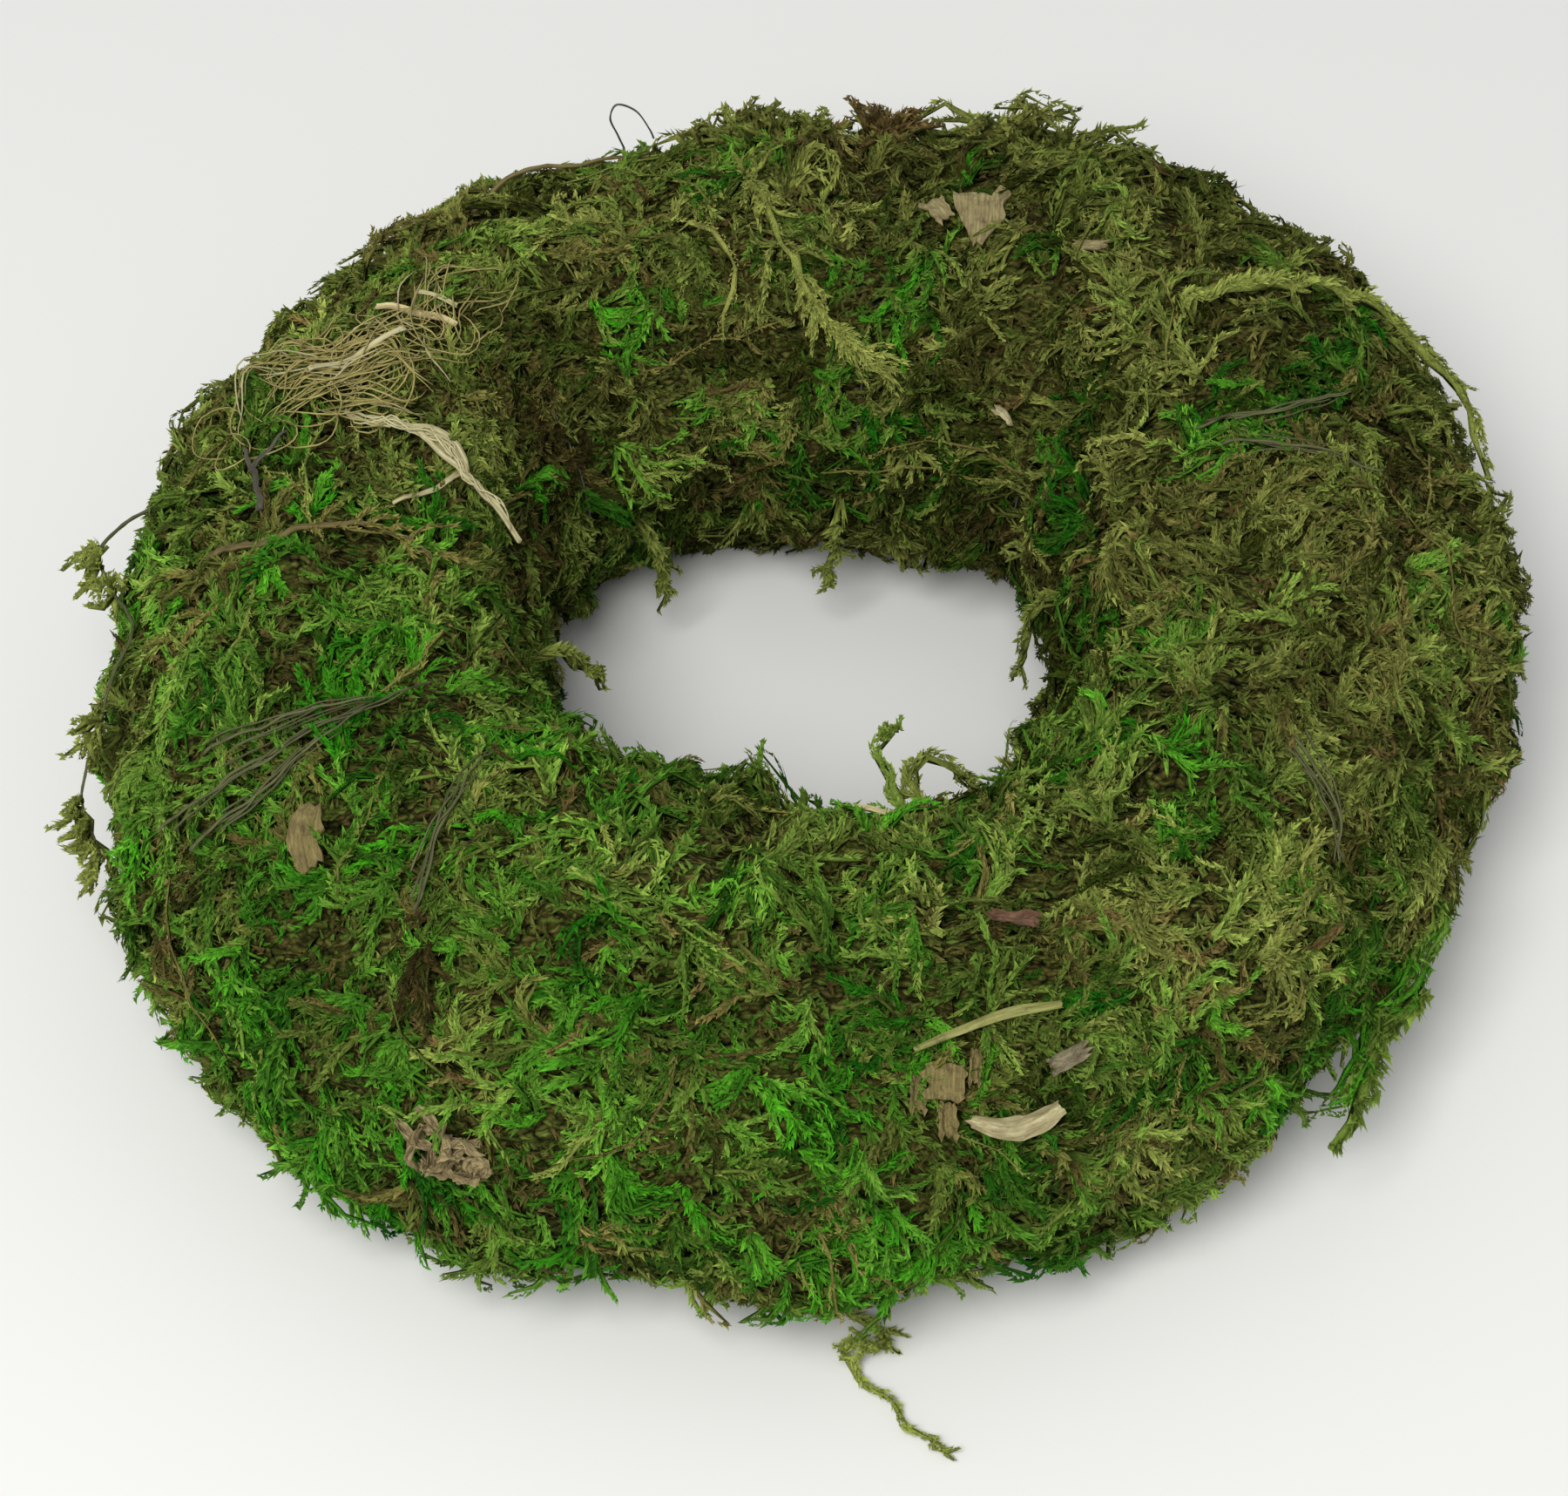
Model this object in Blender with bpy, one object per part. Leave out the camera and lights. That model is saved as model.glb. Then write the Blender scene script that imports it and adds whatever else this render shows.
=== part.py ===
"""A moss wreath: a straw ring wrapped in bound pads of sheet moss, with the loose bits that lie on it."""

import math
import random

import bmesh
import bpy
from mathutils import Vector, kdtree, noise
from mathutils.bvhtree import BVHTree

MM = 0.001
TURN = 2 * math.pi
UP = Vector((0.0, 0.0, 1.0))

# The wreath's axis stands here. The origin is the middle of the whole piece, strands counted, on the table.
AXIS_AT = Vector((-0.8 * MM, 4.5 * MM, 0.0))

# The moss roll: ring angles run round the wreath from +X, section angles round the roll from its outer side
# over its top into the hole.
CENTRE_RADIUS = 83.5 * MM
ROLL_HALF_WIDTH = 40.0 * MM
ROLL_ASPECT = 0.95
FOOT_SINK = 3.0 * MM
OVAL_WIDTH = 2.0 * MM
OVAL_CENTRE = 1.9 * MM
THREE_SIDED_CENTRE = 1.3 * MM
FOUR_SIDED_CENTRE = 2.4 * MM
FOUR_SIDED_TURN = math.radians(29)

# The relief of the moss under its shoots.
COARSE_RELIEF, COARSE_PITCH = 3.0 * MM, 27 * MM
FINE_RELIEF, FINE_PITCH = 2.4 * MM, 10 * MM
TUFT_RELIEF = 2.6 * MM
RELIEF_FADES_BELOW = 8 * MM

# The straw base and its twine.
STRAW_RADIUS = 20.0 * MM
STRAW_RINGS, STRAW_SIDES = 24, 8
BORE_RADIUS = 23.2 * MM
BASE_LEVEL = 37.0 * MM
TWINE_RADIUS = 0.45 * MM
TWINE_TURNS = 8
TWINE_LIFT = 0.9 * MM

# The pads, and the grooves between them that the binding wire lies in.
PADS = 12
PAD_SECTIONS = 24
PAD_COLUMNS = 5
SEAM_PHASE = 0.5
SEAM_SLANT = math.radians(3.5)
SEAM_SLANT_STEP = 5 * TURN / PADS
SEAM_GAP = 0.3 * MM
PAD_SECTION_ANGLES = [TURN * j / PAD_SECTIONS for j in range(PAD_SECTIONS)]
GROOVE_DEPTH = 4.2 * MM
GROOVE_HALF_WIDTH = 2.6 * MM
WIRE_RADIUS = 0.5 * MM
WIRE_DEPTH = 0.2 * MM
WIRE_PROBE = 1.2 * MM
WIRE_OFF_TABLE = 0.8 * MM
WIRE_UNDER_PAD = (math.radians(-54), math.radians(-38))
WIRE_END_AT = math.radians(29)
WIRE_END_LOOP = (
    (0.2, 44, 2.0), (1.6, 50, 4.5), (1.8, 54, 8.0), (0.2, 56, 9.6),
    (-1.5, 55, 7.5), (-1.9, 52, 4.0), (-1.6, 50, 2.6),
)

# What is laid on the moss clears it by this much. Its seat is felt for from above.
CLEARANCE = 0.35 * MM
FEELER_HEIGHT = 16 * MM
FEELER_REACH = 24 * MM
SEAT_REACH = 4 * MM
SEAT_SLACK = 0.05 * MM
SEAT_TRIES = 8
EDGE_STEP = 0.8 * MM

# The moss shoots, larger than life: 3 mm across on the real moss.
SHOOTS_PER_PAD = 25
SHOOT_TRIES = 6
SHOOT_LENGTH = (17 * MM, 28 * MM)
SHOOT_WIDTH = 5.8 * MM
SHOOT_THICKNESS = 3.0 * MM
SHOOT_ROOT_RADIUS = 1.4 * MM
SHOOT_SUNK = 1.4 * MM
SHOOT_SECTIONS = (math.radians(-44), math.radians(224))
UNDERSIDE = math.radians(269)
SHOOT_SPACING = 3.5 * MM
SHOOT_RISE = (3.0 * MM, 5.5 * MM)
TALL_SHOOT_RISE, TALL_SHOOT_SHARE = 3.0 * MM, 0.15
SHOOT_MIDDLE_SHARE = 0.4
SHOOT_MIDDLE_RISE = 0.55
SHOOT_ROOT_LEAN = 0.25
SHOOT_SWAY, SHOOT_STRAY, SHOOT_BEND = 1.6, 0.4, 0.5
SWAY_SHIFT = Vector((0.0, 0.0, 7.0))
CORRIDOR_MARGIN = 1.5 * MM
CORRIDOR_STEP = 2.5 * MM
SEAM_MARGIN = 2.4 * MM

# Where the loose bits lie: ring angle, section angle and height over the moss, in degrees and millimetres.
FORKED_STALK = (
    (161, 86, 0), (162, 95, 0), (160.5, 104, 0), (161, 112, 0), (164.5, 120, 0), (169, 129, 0), (174, 137, 0),
)
STALK_FORK = ((164, 119, 0), (168, 116, 0), (171.5, 113, 0), (176.5, 105, 0))
SHORT_STRAW = ((144, 75, 0), (143, 87, 0), (141.5, 98, 0))
GRASS_FIBRES = 9
FIBRE_RADIUS, FIBRE_LAID_RADIUS = 0.45 * MM, 0.5 * MM
FIBRE_SPREAD, FIBRE_BOW = (4.0, 9.0), 0.6
GRASS_HEARTS = ((155, 78, 0), (149, 88, 0), (142, 93, 0), (136, 93, 0))
DARK_TWIG = ((178.5, 75, 0), (173, 71, 0), (167, 63, 0))
DARK_TWIG_FORK = ((171.5, 69, 0), (168.5, 72, 1), (165.5, 74, 1))
BROWN_TWIG = ((181.5, 60, 0), (183, 77, 0), (182.5, 89, 0), (182, 103, 0), (183, 109, 0), (185.5, 116, 0))
LEFT_SPRIG = (
    (168, 33, 0), (172, 27, 3), (176, 25, 4.5), (181, 27, 2), (186, 27, 0.5), (190, 20, 1), (194, 13, 2.5),
    (198, 10, 3), (202, 7, 1),
)
TWIG_ARCH = ((124, 48, 0), (121, 50, 3), (117.5, 52, 6), (114, 52, 5.5), (109.5, 53, 5), (105.8, 54, 4))
KNOTTED_STRAND = ((137, 44, 0), (134.5, 47, 2.5), (133, 47, 4), (131, 48, 4), (129, 49, 3.5), (126.5, 48, 0))
RIGHT_STRAND = (
    (34.5, 100, 0), (33, 87, 0), (32, 73, 0), (31, 58, 0), (29, 44, 1),
    (25, 34, 2.5), (20.5, 30, 3.5), (16, 26, 2.5), (13, 24, 0.5),
)
FAN_FLAKE = ((64.5, 106, 0), (65.5, 100, 0), (67.5, 90, 1.2))
SIDE_FLAKE = ((73.5, 93, 0), (70.5, 99, 0))
SMALL_FLAKE = ((52.5, 101, 0), (49.5, 97, 0))
STRAW_BIT = ((49, 145, 0), (45, 147, 0.6))
STRAW_STRIP = ((279, 55, 0), (283, 58, 0), (287.5, 60, 0), (292.5, 59, 0))
FRONT_FLAKE = ((281, 43, 0), (281.5, 51, 0))
CREAM_SHAVING = ((283, 37, 0), (286.5, 34, 0), (290, 37, 0))
PINK_FLAKE = ((290, 46, 0), (293.5, 48, 0))
BROWN_FLAKE = ((217.5, 70, 0), (219.5, 65, 0), (222.5, 60, 0))
HOLE_STRAW = ((275.5, 130, 0), (280, 129, 0), (285, 127, 0))
DEAD_LEAF = ((243.4, 27, 0), (243.8, 20, 0), (244.6, 13, 0), (245.4, 6, 0))
RED_LEAF_BIT = ((289.5, 85, 0), (294, 80, 0))
MOSS_PLUME = ((97, 84, 0), (94.5, 99, 0), (91.5, 112, 0), (87, 126, 0), (80.5, 134, 0), (73.5, 139, 0))
THIN_STRAND = ((107.5, 95, 0), (103.5, 97, 0), (101, 106, 0), (101.5, 116, 0), (106, 131, 0))
DARK_STEMS_LEFT = (
    ((209, 38, 0), (210.5, 57, 0), (210.5, 76, 0), (211, 94, 0), (210.5, 110, 0)),
    ((213, 43, 0), (213.5, 60, 0), (212.5, 78, 0), (211.8, 92, 0)),
    ((206.5, 56, 0), (207.8, 72, 0), (209.5, 86, 0), (211, 96, 0)),
)
DARK_STEM_FRONT = ((234, 65, 0), (231, 82, 0), (226, 108, 0))
DARK_STEM_RIGHT_1 = ((18, 111, 0), (16.5, 92, 0), (18, 71, 0))
DARK_STEM_RIGHT_2 = ((13, 105, 0), (10, 85, 0), (8, 66, 0))
DARK_STEM_LOW = ((330.5, 74, 0), (328.5, 62, 0), (324, 48, 0))
HOLE_HOOK = (
    (282, 122, 0), (283.5, 131, 4), (284, 134, 9), (283.5, 135, 14), (286, 136, 17.5), (288.5, 136, 15),
)
HOLE_ARCH = (
    (289, 126, 0), (289.5, 133, 6), (292, 136, 11), (297, 138, 12),
    (302, 139, 9), (305, 138, 4), (307, 134, 1),
)
HOLE_SPRIGS = (
    ((127, 184, 0), (126, 194, 2.5), (125, 205, 8)),
    ((81, 184, 0), (82, 195, 2), (83, 206, 7)),
    ((190, 160, 0), (186, 172, 2), (182, 180, 7)),
    ((366, 160, 0), (363, 172, 2), (359, 180, 4)),
)
TUFT_SHOOTS = 5
TUFT_ROOT_HALF = 2.2
TUFT_FAN, TUFT_SPLAY = 0.7, 0.6
TOP_TUFTS = (((97, 52), 9), ((90, 53), 6), ((80, 53), 7), ((67, 54), 11))
LOOSE_FLAP = ((335, 6, 0), (330, 0, 1), (325.5, -5, 4), (319, -10, 6.5), (313, -15, 7.5), (309, -18, 5))

# The strand on the table: its bends, in millimetres from the wreath's axis, in plan.
TRAIL = (
    (3, -106), (9, -113.5), (13, -116), (11.5, -120), (7.5, -118),
    (7.5, -121.5), (15, -127), (20, -132.5), (26, -136),
)
TRAIL_CURL = (0, 0.2, 1.2, 2.6, 2.4, 0.8, 0, 0, 0)
TRAIL_RADIUS, TRAIL_TIP_RADIUS = 1.2 * MM, 0.9 * MM
TRAIL_OFF_TABLE = 0.05 * MM
TRAIL_NEEDLE = (3.6 * MM, 0.6 * MM)

# A needle leans along its strand, out from it and up off the moss, in these shares.
NEEDLE_LEAN = (0.75, 0.65, 0.4)
TRAIL_NEEDLE_LEAN = (1.0, 0.7, 0.35)
NEEDLE_SHORTENING = 0.35


def polar(ring):
    """The direction away from the wreath's axis at a ring angle."""
    return Vector((math.cos(ring), math.sin(ring), 0.0))


def roll_centre(ring):
    """From the wreath's axis to the middle of the roll: nearly round, as a wreath bound by hand is."""
    return (
        CENTRE_RADIUS
        + OVAL_CENTRE * math.sin(2 * ring)
        + THREE_SIDED_CENTRE * math.sin(3 * ring)
        - FOUR_SIDED_CENTRE * math.cos(4 * ring + FOUR_SIDED_TURN)
    )


def roll_width(ring):
    return ROLL_HALF_WIDTH + OVAL_WIDTH * math.sin(2 * ring)


def roll_reach(ring, section):
    """From the wreath's axis to the roll's surface, in plan."""
    return roll_centre(ring) + roll_width(ring) * math.cos(section)


def roll_level(ring, section):
    """The roll's own height at a section angle, below zero where the table presses it flat."""
    return ROLL_ASPECT * roll_width(ring) * (1 + math.sin(section)) - FOOT_SINK


def roll_normal(ring, section):
    slope = Vector((math.cos(section) * ROLL_ASPECT, math.sin(section))).normalized()
    return polar(ring) * slope.x + UP * slope.y


def on_roll(ring, section, lift=0.0):
    """A point raised by lift from the roll's smooth surface, never under the table."""
    place = AXIS_AT + polar(ring) * roll_reach(ring, section) + UP * max(roll_level(ring, section), 0.0)
    place += roll_normal(ring, section) * lift
    place.z = max(place.z, 0.0)
    return place


def relief_grip(ring, section):
    """The relief fades out towards the flat underside."""
    return min(max(roll_level(ring, section), 0.0) / RELIEF_FADES_BELOW, 1.0)


def relief(ring, section):
    """How far the moss stands over the smooth roll: lumps, and smaller lumps on them."""
    place = on_roll(ring, section)
    lumps = COARSE_RELIEF * noise.noise(place / COARSE_PITCH) + FINE_RELIEF * noise.noise(place / FINE_PITCH)
    return relief_grip(ring, section) * lumps


def seam(index, section):
    """The ring angle of the joint before pad number index. Each joint leans a little across the roll."""
    return TURN * (index + SEAM_PHASE) / PADS + SEAM_SLANT * math.sin(section + SEAM_SLANT_STEP * index)


def finish(name, color, roughness):
    """A plain material of one colour."""
    material = bpy.data.materials.new(name)
    material.use_nodes = True
    shader = material.node_tree.nodes["Principled BSDF"]
    shader.inputs["Base Color"].default_value = (*color, 1.0)
    shader.inputs["Roughness"].default_value = roughness
    shader.inputs["Metallic"].default_value = 0.0
    material.diffuse_color = (*color, 1.0)
    return material


def add_object(name, bm, material):
    """An object from a bmesh, triangulated, with its faces pointing out."""
    bmesh.ops.triangulate(bm, faces=bm.faces)
    bmesh.ops.recalc_face_normals(bm, faces=bm.faces)
    mesh = bpy.data.meshes.new(name)
    bm.to_mesh(mesh)
    bm.free()
    mesh.materials.append(material)
    result = bpy.data.objects.new(name, mesh)
    bpy.context.scene.collection.objects.link(result)
    return result


def loft(bm, loops, closed):
    """A skin over loops of as many points each. It closes on its first loop, or is capped at both ends."""
    rows = [[bm.verts.new(point) for point in loop] for loop in loops]
    following = rows[1:] + rows[:1] if closed else rows[1:]
    for row, after in zip(rows, following):
        for i in range(len(row)):
            j = (i + 1) % len(row)
            bm.faces.new((row[i], row[j], after[j], after[i]))
    if not closed:
        bm.faces.new(rows[0])
        bm.faces.new(rows[-1])
    return rows


def stitch(bm, wide, narrow):
    """Faces between a loop and one of half as many points."""
    for i in range(len(narrow)):
        near, far = narrow[i], narrow[(i + 1) % len(narrow)]
        first, middle, last = wide[2 * i], wide[2 * i + 1], wide[(2 * i + 2) % len(wide)]
        bm.faces.new((near, first, middle))
        bm.faces.new((near, middle, far))
        bm.faces.new((far, middle, last))


def keep_largest(mesh):
    """Drop what a union left loose."""
    bm = bmesh.new()
    bm.from_mesh(mesh)
    waiting, bodies = set(bm.verts), []
    while waiting:
        body, edge = set(), {waiting.pop()}
        while edge:
            body |= edge
            edge = {e.other_vert(v) for v in edge for e in v.link_edges} - body
        waiting -= body
        bodies.append(body)
    for body in sorted(bodies, key=len)[:-1]:
        bmesh.ops.delete(bm, geom=list(body), context="VERTS")
    bm.to_mesh(mesh)
    bm.free()


def fuse(body, pieces):
    """Join pieces to a body in one solid."""
    group = bpy.data.collections.new("Repeats")
    bpy.context.scene.collection.children.link(group)
    for piece in pieces:
        bpy.context.scene.collection.objects.unlink(piece)
        group.objects.link(piece)
    join = body.modifiers.new("Fuse", "BOOLEAN")
    join.operation = "UNION"
    join.operand_type = "COLLECTION"
    join.collection = group
    join.solver = "MANIFOLD"
    fused = bpy.data.meshes.new_from_object(body.evaluated_get(bpy.context.evaluated_depsgraph_get()))
    body.modifiers.clear()
    body.data = fused
    for piece in list(group.objects):
        bpy.data.objects.remove(piece)
    bpy.data.collections.remove(group)
    keep_largest(body.data)
    return body


def base_point(ring, section, radius):
    """A point round the middle of the straw base."""
    return AXIS_AT + polar(ring) * (CENTRE_RADIUS + radius * math.cos(section)) + UP * (
        BASE_LEVEL + radius * math.sin(section)
    )


def make_straw_ring(material):
    bm = bmesh.new()
    sections = [TURN * j / STRAW_SIDES for j in range(STRAW_SIDES)]
    loops = [
        [base_point(TURN * i / STRAW_RINGS, section, STRAW_RADIUS) for section in sections]
        for i in range(STRAW_RINGS)
    ]
    loft(bm, loops, closed=True)
    return add_object("straw_ring", bm, material)


def across(tangent, normal):
    """The level sideways direction of a strand that runs along tangent."""
    return tangent.cross(normal).normalized()


def tube_loops(points, normals, radii):
    """Three-sided sections along a strand, an edge up."""
    loops = []
    for i, (point, normal, radius) in enumerate(zip(points, normals, radii)):
        tangent = points[min(i + 1, len(points) - 1)] - points[max(i - 1, 0)]
        side = across(tangent, normal)
        up = side.cross(tangent).normalized()
        low = point - up * radius * 0.5
        loops.append((point + up * radius, low + side * radius * 0.87, low - side * radius * 0.87))
    return loops


def make_tube(name, points, normals, radii, material):
    bm = bmesh.new()
    loft(bm, tube_loops(points, normals, radii), closed=False)
    return add_object(name, bm, material)


def make_twine(material):
    steps = TWINE_TURNS * STRAW_SIDES
    places = [(TURN * i / steps, TURN * TWINE_TURNS * i / steps) for i in range(steps)]
    points = [base_point(ring, section, STRAW_RADIUS + TWINE_LIFT) for ring, section in places]
    normals = [(polar(ring) * math.cos(section) + UP * math.sin(section)) for ring, section in places]
    padded = [points[-1], *points, points[0]]
    loops = tube_loops(padded, [normals[-1], *normals, normals[0]], [TWINE_RADIUS] * len(padded))[1:-1]
    bm = bmesh.new()
    loft(bm, loops, closed=True)
    return add_object("ring_twine", bm, material)


def pad_columns(index, section):
    """Ring angle and lift of a pad's lengthwise lines: groove bottoms, shoulders, and the moss between."""
    first, last = seam(index, section), seam(index + 1, section)
    reach = roll_reach(first, section)
    edge, shoulder = SEAM_GAP / 2 / reach, GROOVE_HALF_WIDTH / reach
    step = (last - first - 2 * shoulder) / (PAD_COLUMNS - 1)
    rng = random.Random(int(section * 1000) * PADS + index)
    tops = []
    for i in range(PAD_COLUMNS):
        inner = 0 < i < PAD_COLUMNS - 1
        ring = first + shoulder + step * (i + (rng.uniform(-0.3, 0.3) if inner else 0.0))
        tuft = rng.uniform(-1, 1) * TUFT_RELIEF * (1.0 if inner else 0.3)
        tops.append((ring, relief(ring, section) + tuft * relief_grip(ring, section)))
    return [(first + edge, -GROOVE_DEPTH), *tops, (last - edge, -GROOVE_DEPTH)]


def pad_grid(index):
    """The pad's lengthwise lines at each section angle."""
    return [(section, pad_columns(index, section)) for section in PAD_SECTION_ANGLES]


def make_pad_body(grid, name, material):
    """A sleeve of moss round the straw base, from one groove to the next, flat where it meets the table."""
    outside = [
        [on_roll(columns[i][0], section, columns[i][1]) for section, columns in grid]
        for i in range(PAD_COLUMNS + 2)
    ]
    inside = []
    for share in (0.0, 0.5, 1.0):
        loop = []
        for section, columns in grid[::2]:
            first, last = columns[0][0], columns[-1][0]
            loop.append(base_point(first + (last - first) * share, section, BORE_RADIUS))
        inside.append(loop)
    bm = bmesh.new()
    outer = [[bm.verts.new(point) for point in loop] for loop in outside]
    bore = [[bm.verts.new(point) for point in loop] for loop in inside]
    for rows in (outer, bore):
        for row, after in zip(rows, rows[1:]):
            for j in range(len(row)):
                k = (j + 1) % len(row)
                bm.faces.new((row[j], row[k], after[k]))
                bm.faces.new((row[j], after[k], after[j]))
    stitch(bm, outer[0], bore[0])
    stitch(bm, outer[-1], bore[-1])
    return add_object(name, bm, material)


def skin_triangles(grid):
    """The corners, as ring, section and lift, of each triangle between a pad's groove shoulders."""
    step = TURN / PAD_SECTIONS
    for j, (section, columns) in enumerate(grid):
        beside = grid[(j + 1) % PAD_SECTIONS][1]
        for i in range(1, PAD_COLUMNS):
            corner = (columns[i][0], section, columns[i][1])
            turned = (beside[i][0], section + step, beside[i][1])
            along = (columns[i + 1][0], section, columns[i + 1][1])
            far = (beside[i + 1][0], section + step, beside[i + 1][1])
            yield corner, turned, far
            yield corner, far, along


def shoot_steps(rng, ring, section, length):
    """A shoot's middle and tip. Shoots hang down both flanks and lie every way on top."""
    down = -1.0 if section + rng.uniform(-0.5, 0.5) < TURN / 4 else 1.0
    sway = noise.noise(on_roll(ring, section) / COARSE_PITCH + SWAY_SHIFT)
    heading = SHOOT_SWAY * sway + rng.gauss(0.0, SHOOT_STRAY)
    bend = rng.uniform(-SHOOT_BEND, SHOOT_BEND)
    steps = []
    for share, turn in ((SHOOT_MIDDLE_SHARE, 0.0), (1 - SHOOT_MIDDLE_SHARE, bend)):
        ring += length * share * math.sin(heading + turn) / roll_reach(ring, section)
        section += down * length * share * math.cos(heading + turn) / ROLL_HALF_WIDTH
        steps.append((ring, section))
    return steps


def is_clear(index, places, corridors, taken):
    """Whether a shoot keeps to its own pad and off the table, the other shoots and what lies on the moss."""
    for ring, section in places:
        margin = SEAM_MARGIN / roll_reach(ring, section)
        if not seam(index, section) + margin < ring < seam(index + 1, section) - margin:
            return False
        if not SHOOT_SECTIONS[0] < section < SHOOT_SECTIONS[1]:
            return False
        place = on_roll(ring, section)
        if corridors.find(place)[2] < SHOOT_WIDTH / 2 + CORRIDOR_MARGIN:
            return False
        if any((place - other).length < SHOOT_SPACING for other in taken):
            return False
    return True


def make_shoot(root, up, middle, middle_up, tip, material):
    """One shoot of moss, that grows out of a triangle of the pad and bends over, flat side down."""
    along = (middle - root).normalized()
    side = across(along, up)
    forward = up.cross(side)
    spread = across(tip - root, middle_up) * SHOOT_WIDTH / 2
    bm = bmesh.new()
    foot = [root + step * SHOOT_ROOT_RADIUS for step in (side, -side, forward)]
    if (foot[2] - middle).length < (root - middle).length:
        foot[2] = root - forward * SHOOT_ROOT_RADIUS
    bend = (middle + spread, middle - spread, middle + middle_up * SHOOT_THICKNESS)
    rows = [[bm.verts.new(point) for point in loop] for loop in (foot, bend)]
    end = bm.verts.new(tip)
    bm.faces.new(rows[0])
    for i in range(3):
        j = (i + 1) % 3
        bm.faces.new((rows[0][i], rows[0][j], rows[1][j], rows[1][i]))
        bm.faces.new((rows[1][i], rows[1][j], end))
    return add_object("shoot", bm, material)


def halfway(places):
    """The places, and the middles between them."""
    between = [((a[0] + b[0]) / 2, (a[1] + b[1]) / 2) for a, b in zip(places, places[1:])]
    return [*places, *between]


def grow_shoot(rng, index, triangle, corridors, taken, material):
    """A shoot from the middle of a triangle of the pad's skin, or nothing where there is no room for one."""
    corners = [on_roll(*corner) for corner in triangle]
    ring, section, _ = (sum(values) / 3 for values in zip(*triangle))
    centre = sum(corners, Vector()) / 3
    for _ in range(SHOOT_TRIES):
        middle, tip = shoot_steps(rng, ring, section, rng.uniform(*SHOOT_LENGTH))
        rise = rng.uniform(*SHOOT_RISE) + (TALL_SHOOT_RISE if rng.random() < TALL_SHOOT_SHARE else 0.0)
        places = halfway(((ring, section), middle, tip))
        if is_clear(index, places, corridors, taken):
            taken.extend(on_roll(*place) for place in places)
            up = roll_normal(ring, section)
            over = on_roll(*middle, relief(*middle) + rise * SHOOT_MIDDLE_RISE)
            end = on_roll(*tip, relief(*tip) + rise)
            lean = (over - centre) * SHOOT_ROOT_LEAN
            return make_shoot(centre - up * SHOOT_SUNK - lean, up, over, roll_normal(*middle), end, material)
    return None


def unwound(triangle):
    """The same triangle with section angles from the underside up, as the shoots' limits are given."""
    over = TURN if min(section for _, section, _ in triangle) > UNDERSIDE else 0.0
    return [(ring, section - over, lift) for ring, section, lift in triangle]


def make_pad(index, corridors, material):
    grid = pad_grid(index)
    body = make_pad_body(grid, f"moss_pad_{index + 1:02d}", material)
    rng = random.Random(700 + index)
    triangles = list(skin_triangles(grid))
    rng.shuffle(triangles)
    shoots, taken = [], []
    for triangle in triangles:
        shoot = grow_shoot(rng, index, unwound(triangle), corridors, taken, material)
        if shoot:
            shoots.append(shoot)
        if len(shoots) == SHOOTS_PER_PAD:
            break
    return fuse(body, shoots)


def radians_route(route):
    return [(math.radians(ring), math.radians(section), lift * MM) for ring, section, lift in route]


def dense(route, step):
    """The points of a smooth curve through a route's places, about a step apart."""
    result = []
    for i in range(len(route) - 1):
        window = (min(max(i + k, 0), len(route) - 1) for k in (-1, 0, 1, 2))
        before, start, end, after = (Vector(route[k]) for k in window)
        length = (on_roll(*start) - on_roll(*end)).length
        count = max(1, math.ceil(length / step))
        for j in range(count):
            t = j / count
            result.append(
                start
                + t * 0.5 * (end - before)
                + t * t * (before - 2.5 * start + 2 * end - 0.5 * after)
                + t**3 * (1.5 * start - 0.5 * before - 1.5 * end + 0.5 * after)
            )
    result.append(Vector(route[-1]))
    return result


def mesh_tree(mesh):
    return BVHTree.FromPolygons([v.co for v in mesh.vertices], [tuple(p.vertices) for p in mesh.polygons])


def mesh_box(points, margin):
    """The low and high corners of a box round points."""
    low = Vector([min(point[i] for point in points) - margin for i in range(3)])
    high = Vector([max(point[i] for point in points) + margin for i in range(3)])
    return low, high


def is_in(point, box):
    return all(box[0][i] < point[i] < box[1][i] for i in range(3))


def edge_points(mesh):
    """Points along every edge of a mesh, close together."""
    result = []
    for edge in mesh.edges:
        start, end = (mesh.vertices[v].co for v in edge.vertices)
        count = max(1, math.ceil((end - start).length / EDGE_STEP))
        result.extend(start.lerp(end, j / count) for j in range(count + 1))
    return result


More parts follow.
